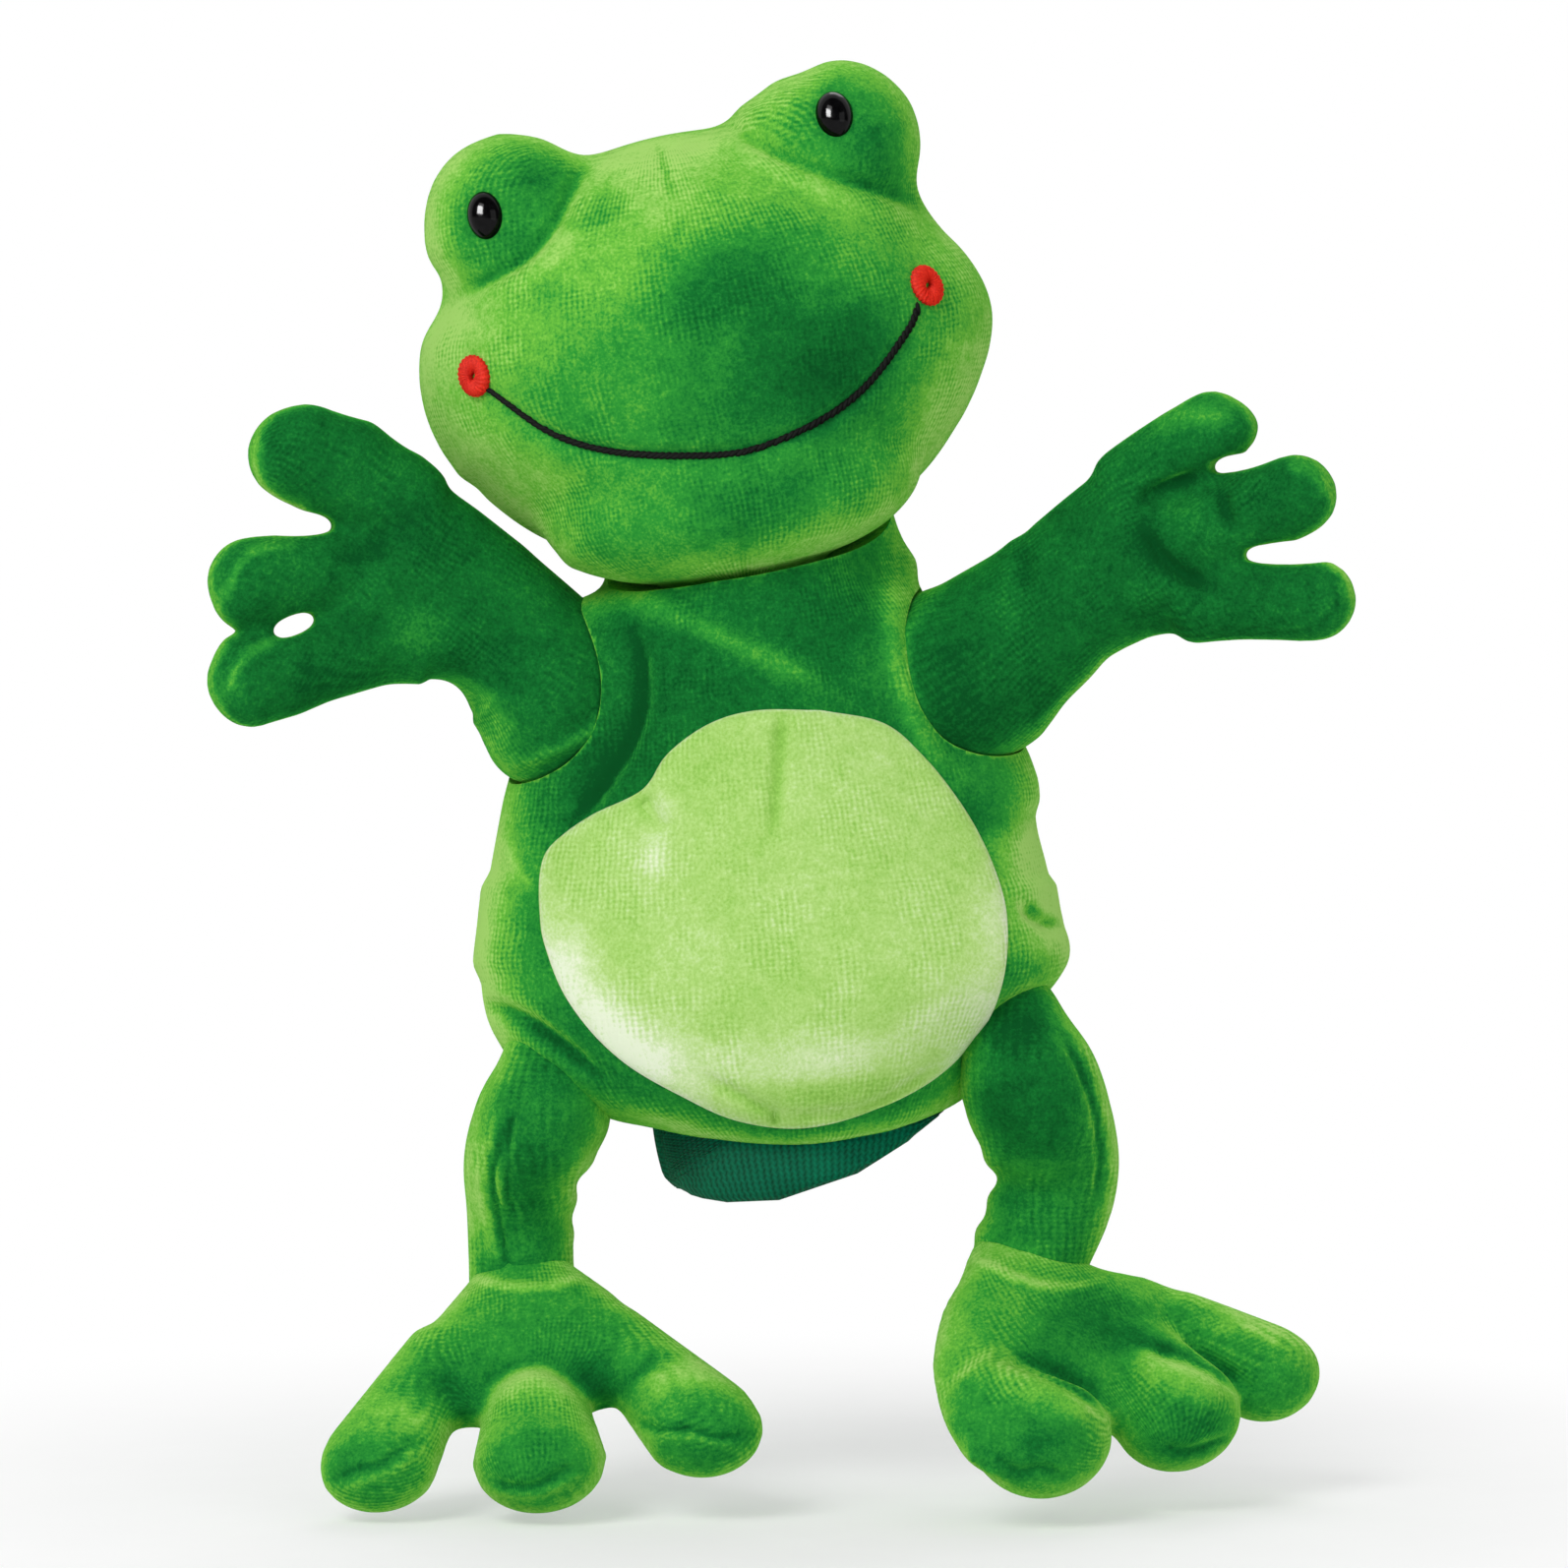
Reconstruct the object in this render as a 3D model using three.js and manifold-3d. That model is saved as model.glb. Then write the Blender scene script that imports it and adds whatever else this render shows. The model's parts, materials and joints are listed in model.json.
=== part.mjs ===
// Frog glove puppet with stuffed head, hands, legs and feet. Sizes are in millimetres.
// +Z is up, the puppet looks along -Y and its own left side is +X.
// The origin is the middle of the wrist opening, where the hand goes in.

import * as THREE from "three";
import { mergeVertices } from "three/addons/utils/BufferGeometryUtils.js";
import Module from "manifold-3d";

const wasm = await Module();
wasm.setup();

// Cloth and clearances
const VELOUR = 2;
const LINING = 1;
const PATCH = 1.2;
const SEAM_GAP = 0.3;
const TURNING_GAP = 0.6;
const SEAM_RING = 1;

// Glove body: the rise from one height to the next, and the half width and half depth there
const BODY_LEAN = 5.5;
const BODY_SQUARENESS = 2.3;
const CUFF_HEIGHT = 12;
const CUFF_WALL = 3;
const HEM_HALF_WIDTH = 36;
const HEM_HALF_DEPTH = 26;
const RUMP_RISE = 10;
const RUMP_HALF_WIDTH = 53;
const RUMP_HALF_DEPTH = 33;
const BELLY_RISE = 28;
const BELLY_HALF_WIDTH = 66;
const BELLY_HALF_DEPTH = 38;
const CHEST_RISE = 42;
const CHEST_HALF_WIDTH = 59;
const CHEST_HALF_DEPTH = 30;
const SHOULDER_RISE = 20;
const SHOULDER_HALF_WIDTH = 51;
const SHOULDER_HALF_DEPTH = 26;
const COLLAR_RISE = 19;
const COLLAR_HALF_WIDTH = 31;
const COLLAR_HALF_DEPTH = 22;
const LINING_BELOW_ARMHOLE = 1;

// Pale belly patch, sewn on the front of the body
const PATCH_HALF_WIDTH = 52;
const PATCH_UP = 46;
const PATCH_DOWN = 43;
const PATCH_CENTRE = 57;

// Head: an egg on a ball that turns in the collar
const HEAD_TILT = 5;
const HEAD_HALF_WIDTH = 63.5;
const HEAD_HALF_DEPTH = 44;
const HEAD_UP = 47.5;
const HEAD_DOWN = 51;
const HEAD_SEAM_BACK = 5;
const NECK_BALL = 25;
const NECK_ABOVE_COLLAR = 7;
const NECK_ABOVE_CHIN = 2.6;
const NECK_SEAM_FROM = 36;
const NECK_SEAM_SPAN = 14;
const FINGER_BORE = 10;
const FINGER_TUBE_WALL = 1.2;
const FINGER_TUBE_REACH = 42;

// Eye mounds on the brow, and the eyes in them
const BROW_ROLL = 2.5;
const BROW_SHIFT = 2;
const MOUND_APART = 36;
const MOUND_RISE = 36.2;
const MOUND_FORWARD = 7;
const MOUND_HALF_WIDTH = 20;
const MOUND_HALF_DEPTH = 21;
const MOUND_HALF_HEIGHT = 19.5;
const EYE_HALF_WIDTH = 4;
const EYE_HALF_HEIGHT = 5.2;
const EYE_DOME = 3.6;
const SHANK_RADIUS = 1.6;
const SHANK_LENGTH = 10;
const WASHER_RADIUS = 5.5;
const WASHER_THICKNESS = 1.5;

// Stitched mouth, with a knot at each corner
const MOUTH_HALF_WIDTH = 46;
const MOUTH_DROP = 21;
const MOUTH_CORNER_RISE = -1;
const MOUTH_CURVE = 2.2;
const THREAD_RADIUS = 0.9;
const KNOT_APART = 50.5;
const KNOT_RISE = 3.5;
const KNOT_RING = 2.6;
const KNOT_TUBE = 1.5;
const KNOT_STRETCH = 1.2;

// Arms: a ball in the armhole, a flat sleeve, a palm and three fingers
const SHOULDER_BALL = 21;
const SHOULDER_INSET = 6;
const SHOULDER_FORWARD = 6;
const ARM_FORWARD = 22;
const ARM_MOUTH = 14;
const ARM_SEAM_FROM = 118;
const ARM_SEAM_SPAN = 12;
const SLEEVE_HALF_HEIGHT = 18;
const SLEEVE_HALF_DEPTH = 12.5;
const WRIST_HALF_DEPTH = 11;
const PALM_HALF_LENGTH = 10;
const PALM_HALF_HEIGHT = 22;
const PALM_HALF_DEPTH = 10.5;
const PALM_LOW = 2;
const POCKET_DEPTH = 42;
const FINGER_FLATNESS = 0.9;

// Legs and feet
const HIP_BALL = 10.5;
const HIP_INSET = 2;
const HIP_FORWARD = 3;
const HIP_RISE = 1;
const HIP_TOP = 6;
const LEG_FORWARD = 5;
const ANKLE_BALL = 10.5;
const ANKLE_COLLAR_DROP = 5;
const FOOT_SEAM_DROP = 1;
const TOE_FLATNESS = 0.86;
const TOE_TAPER = 0.38;
const TOE_LIFT = 1;

// What differs between the two sides: where the eye sits on its mound, angles in degrees, fingers from the top
// one down, sections of the foot from the heel on, and toes by the middle of their tips
const LEFT = {
  name: "left",
  side: 1,
  eyeOut: 1.2,
  eyeUp: 5.9,
  shoulderBelow: 3.5,
  raise: 29.5,
  palmReach: 55,
  wristHalfHeight: 19.5,
  fingers: [
    { across: 13, angle: -4, reach: 24.5, radius: 9 },
    { across: -3.5, angle: -13.5, reach: 33, radius: 9.4 },
    { across: -15.5, angle: -36, reach: 28, radius: 9.4 },
  ],
  legLength: 43.5,
  legRadius: 13.6,
  kneeOut: 9.5,
  ankleOut: 0,
  footYaw: 46,
  footPitch: 44,
  footRoll: 10,
  footSections: [
    { reach: -7.8, across: -1, halfWidth: 9, halfHeight: 7.8 },
    { reach: 0, across: -5, halfWidth: 17, halfHeight: 13 },
    { reach: 8, across: -6, halfWidth: 26, halfHeight: 12 },
    { reach: 17, across: -6, halfWidth: 33.5, halfHeight: 10.5 },
    { reach: 28, across: -3, halfWidth: 41.5, halfHeight: 8.5 },
    { reach: 38, across: 0, halfWidth: 45, halfHeight: 7 },
    { reach: 46, across: 4, halfWidth: 42, halfHeight: 5.6 },
  ],
  toes: [
    { across: -27.5, reach: 47.5, turn: -14, length: 20, radius: 15 },
    { across: 12.5, reach: 53, turn: 11, length: 22, radius: 12.6 },
    { across: 39.5, reach: 47.5, turn: 17, length: 18, radius: 11.8 },
  ],
};
const RIGHT = {
  name: "right",
  side: -1,
  eyeOut: 5.5,
  eyeUp: 1.4,
  shoulderBelow: -1.5,
  raise: 40.5,
  palmReach: 47,
  wristHalfHeight: 20,
  fingers: [
    { across: 14, angle: -9, reach: 31, radius: 10 },
    { across: 1, angle: -40, reach: 30.5, radius: 9.7 },
    { across: -19, angle: -57, reach: 21, radius: 9.5 },
  ],
  legLength: 37,
  legRadius: 12.4,
  kneeOut: 10,
  ankleOut: 8.5,
  footYaw: -4,
  footPitch: 47,
  footRoll: -7,
  footSections: [
    { reach: -7.8, across: 0, halfWidth: 9, halfHeight: 7.8 },
    { reach: 0, across: 0, halfWidth: 14.5, halfHeight: 13 },
    { reach: 10, across: -1, halfWidth: 22, halfHeight: 11.5 },
    { reach: 20, across: -2, halfWidth: 28.5, halfHeight: 9.5 },
    { reach: 30, across: -3, halfWidth: 35, halfHeight: 7.8 },
    { reach: 38, across: -4, halfWidth: 36, halfHeight: 5.6 },
  ],
  toes: [
    { across: 31.8, reach: 48.8, turn: 20, length: 20, radius: 13.2 },
    { across: -2.5, reach: 48, turn: 0, length: 20, radius: 14.6 },
    { across: -37, reach: 44, turn: -25, length: 20, radius: 13.8 },
  ],
};

// Derived heights and joint centres
const RUMP_Z = CUFF_HEIGHT + RUMP_RISE;
const BELLY_Z = RUMP_Z + BELLY_RISE;
const CHEST_Z = BELLY_Z + CHEST_RISE;
const SHOULDER_Z = CHEST_Z + SHOULDER_RISE;
const COLLAR_Z = SHOULDER_Z + COLLAR_RISE;
const NECK_Z = COLLAR_Z + NECK_ABOVE_COLLAR;
const HEAD_Z = HEAD_DOWN - NECK_ABOVE_CHIN;
const SHOULDER_X = SHOULDER_HALF_WIDTH - SHOULDER_INSET;
const HIP_X = RUMP_HALF_WIDTH - HIP_INSET;
const NECK_THREAD_RADIUS = NECK_BALL + TURNING_GAP;
const NECK_HEM_RADIUS = NECK_THREAD_RADIUS + SEAM_RING + TURNING_GAP;
const COLLAR_SOCKET = NECK_HEM_RADIUS + SEAM_RING + TURNING_GAP;
const ARM_SEAM_RADIUS = SHOULDER_BALL + TURNING_GAP;
const ARMHOLE_SOCKET = ARM_SEAM_RADIUS + SEAM_RING + TURNING_GAP;
const HIP_SOCKET = HIP_BALL + TURNING_GAP;
const ANKLE_SOCKET = ANKLE_BALL + TURNING_GAP;
const FILL_INSET = VELOUR + SEAM_GAP;
const FAR = 400;
const CUT_OVERRUN = 20;
const SMOOTHNESS = 0.1;

const radians = THREE.MathUtils.degToRad;

// Colours
const cloth = (color, roughness = 0.95) =>
  new THREE.MeshStandardMaterial({ color, roughness, metalness: 0 });
const GREEN = 0x35a02c;
const PALE_GREEN = 0xb4d96c;
const TEAL = 0x0d4a3c;
const FILL_WHITE = 0xf1efe6;
const RED_THREAD = 0xe03524;
const BLACK_THREAD = 0x141a12;
const EYE_BLACK = 0x050505;

/**
 * Turns a closed surface into a solid, with its faces pointing out.
 */
function solidOf(geometry) {
  const bare = geometry.clone();
  bare.deleteAttribute("normal");
  bare.deleteAttribute("uv");
  const merged = mergeVertices(bare, 1e-4);
  const position = merged.attributes.position;
  const corners = [new THREE.Vector3(), new THREE.Vector3(), new THREE.Vector3()];
  const faces = [];
  let sixVolumes = 0;
  for (let i = 0; i < merged.index.count; i += 3) {
    const face = [0, 1, 2].map((k) => merged.index.getX(i + k));
    if (new Set(face).size < 3) continue;
    face.forEach((corner, k) => corners[k].fromBufferAttribute(position, corner));
    sixVolumes += corners[0].dot(corners[1].cross(corners[2]));
    faces.push(face);
  }
  if (sixVolumes < 0) faces.forEach((face) => face.reverse());
  const mesh = new wasm.Mesh({
    numProp: 3,
    vertProperties: Float32Array.from(position.array),
    triVerts: Uint32Array.from(faces.flat()),
  });
  return new wasm.Manifold(mesh);
}

/**
 * Makes a named mesh from a solid.
 */
function piece(name, material, solid) {
  const { vertProperties, triVerts } = solid.simplify(SMOOTHNESS).getMesh();
  const geometry = new THREE.BufferGeometry();
  geometry.setAttribute("position", new THREE.BufferAttribute(vertProperties, 3));
  geometry.setIndex(new THREE.BufferAttribute(triVerts, 1));
  geometry.computeVertexNormals();
  const mesh = new THREE.Mesh(geometry, material);
  mesh.name = name;
  return mesh;
}

/**
 * A closed skin through rings of points that turn the same way, with a fan at each end.
 */
function loft(rings) {
  const count = rings[0].length;
  const middle = (ring) =>
    ring.reduce((sum, p) => sum.add(p), new THREE.Vector3()).divideScalar(count);
  const points = [...rings.flat(), middle(rings[0]), middle(rings.at(-1))];
  const foot = rings.length * count;
  const last = foot - count;
  const index = [];
  for (let i = 0; i < count; i++) {
    const next = (i + 1) % count;
    index.push(foot, next, i, foot + 1, last + i, last + next);
    for (let row = 0; row < last; row += count) {
      index.push(row + i, row + next, row + count + next);
      index.push(row + i, row + count + next, row + count + i);
    }
  }
  return new THREE.BufferGeometry().setFromPoints(points).setIndex(index);
}

/**
 * An egg with different heights above and below its widest place.
 */
function egg(halfWidth, halfDepth, up, down, columns, rows) {
  const shape = new THREE.SphereGeometry(1, columns, rows).rotateX(Math.PI / 2);
  const p = shape.attributes.position;
  for (let i = 0; i < p.count; i++) {
    const height = p.getZ(i) > 0 ? up : down;
    p.setXYZ(i, p.getX(i) * halfWidth, p.getY(i) * halfDepth, p.getZ(i) * height);
  }
  return shape;
}

/**
 * A ball about a joint centre.
 */
function ball(radius, centre = [0, 0, 0], columns = 16, rows = 10) {
  const shape = new THREE.SphereGeometry(radius, columns, rows).rotateX(Math.PI / 2);
  return solidOf(shape.translate(...centre));
}

/**
 * A box that reaches far past everything on one side of a plane across x, y or z.
 */
function halfSpace(axis, limit, sign) {
  const centre = new THREE.Vector3();
  centre[axis] = limit + (sign * FAR) / 2;
  const box = new THREE.BoxGeometry(FAR, FAR, FAR);
  return box.translate(centre.x, centre.y, centre.z);
}

/**
 * The parts of a solid on the two sides of a seam plane, a seam gap apart.
 */
function splitAt(solid, axis, limit) {
  const low = solidOf(halfSpace(axis, limit - SEAM_GAP / 2, -1));
  const high = solidOf(halfSpace(axis, limit + SEAM_GAP / 2, 1));
  return [solid.intersect(low), solid.intersect(high)];
}

/**
 * A thin band of a ball, between two angles from the +Z pole.
 */
function seamBand(radius, from, span) {
  const outline = [];
  const steps = 1;
  for (let i = 0; i <= steps; i++) {
    const angle = radians(from + (span * i) / steps);
    outline.push(new THREE.Vector2(Math.sin(angle), Math.cos(angle)).multiplyScalar(radius));
  }
  for (let i = steps; i >= 0; i--) {
    const angle = radians(from + (span * i) / steps);
    const out = radius + SEAM_RING;
    outline.push(new THREE.Vector2(Math.sin(angle), Math.cos(angle)).multiplyScalar(out));
  }
  outline.push(outline[0].clone());
  return new THREE.LatheGeometry(outline, 20).rotateX(Math.PI / 2);
}

/**
 * A round bar along Z between two heights.
 */
function bar(radius, from, to, sides = 16) {
  const shape = new THREE.CylinderGeometry(radius, radius, to - from, sides);
  return solidOf(shape.rotateX(Math.PI / 2).translate(0, 0, (from + to) / 2));
}

// Glove body

const bodyHeights = [CUFF_HEIGHT, RUMP_Z, BELLY_Z, CHEST_Z, SHOULDER_Z, COLLAR_Z];
const bodyWidths = [
  HEM_HALF_WIDTH,
  RUMP_HALF_WIDTH,
  BELLY_HALF_WIDTH,
  CHEST_HALF_WIDTH,
  SHOULDER_HALF_WIDTH,
  COLLAR_HALF_WIDTH,
];
const bodyDepths = [
  HEM_HALF_DEPTH,
  RUMP_HALF_DEPTH,
  BELLY_HALF_DEPTH,
  CHEST_HALF_DEPTH,
  SHOULDER_HALF_DEPTH,
  COLLAR_HALF_DEPTH,
];
const profile = (sizes) =>
  new THREE.SplineCurve(sizes.map((size, i) => new THREE.Vector2(size, bodyHeights[i])));
const bodyWidth = profile(bodyWidths);
const bodyDepth = profile(bodyDepths);

/**
 * A flat ring of a squarish oval.
 */
function oval(halfWidth, halfDepth, z, columns) {
  const ring = [];
  const bend = (v) => Math.sign(v) * Math.abs(v) ** (2 / BODY_SQUARENESS);
  for (let i = 0; i < columns; i++) {
    const angle = (2 * Math.PI * i) / columns;
    const x = halfWidth * bend(Math.cos(angle));
    const y = halfDepth * bend(Math.sin(angle));
    ring.push(new THREE.Vector3(x, y, z));
  }
  return ring;
}

/**
 * The body's form drawn in by an inset, run on past both ends by an overrun.
 */
function bodyForm(inset, overrun, columns = 20, rows = 10) {
  const rings = [];
  for (let i = 0; i <= rows; i++) {
    const wide = bodyWidth.getPoint(i / rows);
    const deep = bodyDepth.getPoint(i / rows);
    rings.push(oval(wide.x - inset, deep.x - inset, wide.y, columns));
  }
  if (overrun > 0) {
    const shifted = (ring, dz) => ring.map((p) => p.clone().setZ(p.z + dz));
    rings.unshift(shifted(rings[0], -overrun));
    rings.push(shifted(rings.at(-1), overrun));
  }
  return solidOf(loft(rings));
}

const shoulderOf = ({ side, shoulderBelow }) => [
  side * SHOULDER_X,
  -SHOULDER_FORWARD,
  SHOULDER_Z - shoulderBelow,
];
const sockets = [
  ball(COLLAR_SOCKET, [0, 0, NECK_Z], 22, 14),
  ball(ARMHOLE_SOCKET, shoulderOf(LEFT), 18, 12),
  ball(ARMHOLE_SOCKET, shoulderOf(RIGHT), 18, 12),
  ball(HIP_SOCKET, [HIP_X, -HIP_FORWARD, RUMP_Z + HIP_RISE], 16, 10),
  ball(HIP_SOCKET, [-HIP_X, -HIP_FORWARD, RUMP_Z + HIP_RISE], 16, 10),
];
const withSockets = (solid) => sockets.reduce((left, socket) => left.subtract(socket), solid);

const torso = new THREE.Group();
torso.name = "torso";
torso.rotation.y = -radians(BODY_LEAN);

const bodyCover = withSockets(bodyForm(0, 0).subtract(bodyForm(VELOUR, CUT_OVERRUN, 16, 8)));
const [bodyFront, bodyBack] = splitAt(bodyCover, "y", 0);
torso.add(piece("body_front", cloth(GREEN), bodyFront));
torso.add(piece("body_back", cloth(GREEN), bodyBack));

const armholeBottom = Math.min(shoulderOf(LEFT)[2], shoulderOf(RIGHT)[2]) - ARMHOLE_SOCKET;
const liningTop = solidOf(halfSpace("z", armholeBottom - LINING_BELOW_ARMHOLE, -1));
const liningForm = bodyForm(FILL_INSET, 0, 16, 8).intersect(liningTop);
const liningHollow = bodyForm(FILL_INSET + LINING, CUT_OVERRUN, 16, 8);
const lining = withSockets(liningForm.subtract(liningHollow));
torso.add(piece("glove_lining", cloth(FILL_WHITE), lining));

const patchOutline = new THREE.Shape();
patchOutline.absellipse(0, PATCH_CENTRE, PATCH_HALF_WIDTH, PATCH_UP, 0, Math.PI);
patchOutline.absellipse(0, PATCH_CENTRE, PATCH_HALF_WIDTH, PATCH_DOWN, Math.PI, 2 * Math.PI);
const patchPrism = new THREE.ExtrudeGeometry(patchOutline, {
  depth: FAR,
  bevelEnabled: false,
  curveSegments: 14,
}).rotateX(Math.PI / 2);
const patchSkin = bodyForm(-SEAM_GAP - PATCH, 0).subtract(bodyForm(-SEAM_GAP, CUT_OVERRUN));
const patch = withSockets(patchSkin.intersect(solidOf(patchPrism)));
torso.add(piece("belly_patch", cloth(PALE_GREEN), patch));

const cuffRing = (inset, from, to) =>
  solidOf(
    loft([
      oval(HEM_HALF_WIDTH - inset, HEM_HALF_DEPTH - inset, from, 24),
      oval(HEM_HALF_WIDTH - inset, HEM_HALF_DEPTH - inset, to, 24),
    ]),
  );
const cuff = cuffRing(SEAM_GAP, 0, CUFF_HEIGHT - SEAM_GAP).subtract(
  cuffRing(SEAM_GAP + CUFF_WALL, -FAR, FAR),
);
torso.add(piece("wrist_cuff", cloth(TEAL), cuff));

// Neck seam: the collar's hem and the thread that gathers it

const neck = new THREE.Group();
neck.name = "neck";
neck.position.set(0, 0, NECK_Z);
const neckHem = seamBand(NECK_HEM_RADIUS, 90 + NECK_SEAM_FROM, NECK_SEAM_SPAN);
const neckThread = seamBand(NECK_THREAD_RADIUS, 90 + NECK_SEAM_FROM, NECK_SEAM_SPAN);
neck.add(piece("neck_hem", cloth(GREEN), solidOf(neckHem)));
neck.add(piece("neck_thread", cloth(BLACK_THREAD), solidOf(neckThread)));
torso.add(neck);

// Head

const head = new THREE.Group();
head.name = "head";
head.position.set(0, 0, NECK_Z);
head.rotation.y = -radians(HEAD_TILT);

/**
 * The head's egg drawn in by an inset, in the head's own frame.
 */
function headEgg(inset, columns, rows) {
  const shape = egg(
    HEAD_HALF_WIDTH - inset,
    HEAD_HALF_DEPTH - inset,
    HEAD_UP - inset,
    HEAD_DOWN - inset,
    columns,
    rows,
  );
  return shape.translate(0, 0, HEAD_Z);
}

const headForm = (inset, columns, rows) =>
  solidOf(headEgg(inset, columns, rows)).add(ball(NECK_BALL - inset, [0, 0, 0], columns, rows));
const tubeOuter = FINGER_BORE + FINGER_TUBE_WALL;
const tubeBottom = -Math.sqrt(NECK_BALL ** 2 - tubeOuter ** 2);
const neckHole = bar(tubeOuter + SEAM_GAP, -NECK_BALL - FINGER_BORE, 0);
const headCover = headForm(0, 20, 12).subtract(headForm(VELOUR, 14, 9)).subtract(neckHole);
const [headFace, headBack] = splitAt(headCover, "y", HEAD_SEAM_BACK);
head.add(piece("head_face", cloth(GREEN), headFace));
head.add(piece("head_back", cloth(GREEN), headBack));

const tubeRoom = bar(tubeOuter + SEAM_GAP, -FAR / 2, FINGER_TUBE_REACH + SEAM_GAP);
const headFill = headForm(FILL_INSET, 14, 9).subtract(tubeRoom);
head.add(piece("head_stuffing", cloth(FILL_WHITE), headFill));

const tubeHollow = bar(FINGER_BORE, -FAR / 2, FINGER_TUBE_REACH - FINGER_TUBE_WALL);
const fingerTube = bar(tubeOuter, tubeBottom, FINGER_TUBE_REACH).subtract(tubeHollow);
head.add(piece("finger_tube", cloth(FILL_WHITE), fingerTube));

const headSurface = new THREE.Mesh(headEgg(0, 20, 12));
const caster = new THREE.Raycaster();

/**
 * Where a straight line from the front meets a surface.
 */
function frontOf(mesh, x, z) {
  caster.set(new THREE.Vector3(x, -FAR, z), new THREE.Vector3(0, 1, 0));
  return caster.intersectObject(mesh)[0].point;
}

/**
 * The direction straight out of the head's egg at a point on it.
 */
function headNormal(point) {
  const rise = point.z - HEAD_Z;
  const height = rise > 0 ? HEAD_UP : HEAD_DOWN;
  return new THREE.Vector3(
    point.x / HEAD_HALF_WIDTH ** 2,
    point.y / HEAD_HALF_DEPTH ** 2,
    rise / height ** 2,
  ).normalize();
}

/**
 * Turns an object that faces -Y so that it faces along a direction.
 */
function face(object, direction) {
  object.quaternion.setFromUnitVectors(new THREE.Vector3(0, -1, 0), direction);
}

// Stitched mouth

const mouthPath = [];
const mouthSteps = 22;
for (let i = 0; i <= mouthSteps; i++) {
  const share = (2 * i) / mouthSteps - 1;
  const rise = MOUTH_CORNER_RISE - MOUTH_DROP * (1 - Math.abs(share) ** MOUTH_CURVE);
  const at = frontOf(headSurface, share * MOUTH_HALF_WIDTH, HEAD_Z + rise);
  mouthPath.push(at.addScaledVector(headNormal(at), THREAD_RADIUS + SEAM_GAP));
}
const threadOutline = new THREE.Shape().absarc(0, 0, THREAD_RADIUS, 0, 2 * Math.PI);
const mouthThread = new THREE.ExtrudeGeometry(threadOutline, {
  extrudePath: new THREE.CatmullRomCurve3(mouthPath),
  steps: mouthSteps,
  curveSegments: 3,
  bevelEnabled: false,
});
head.add(piece("mouth_thread", cloth(BLACK_THREAD), solidOf(mouthThread)));

/**
 * The ring of thread at one corner of the mouth.
 */
function addKnot({ name, side }) {
  const at = frontOf(headSurface, side * KNOT_APART, HEAD_Z + KNOT_RISE);
  const out = headNormal(at);
  const ring = new THREE.TorusGeometry(KNOT_RING, KNOT_TUBE, 6, 12);
  ring.scale(1, KNOT_STRETCH, 1).rotateX(Math.PI / 2);
  const knot = piece(`${name}_mouth_knot`, cloth(RED_THREAD), solidOf(ring));
  knot.position.copy(at).addScaledVector(out, KNOT_TUBE + SEAM_GAP);
  face(knot, out);
  head.add(knot);
}

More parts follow.
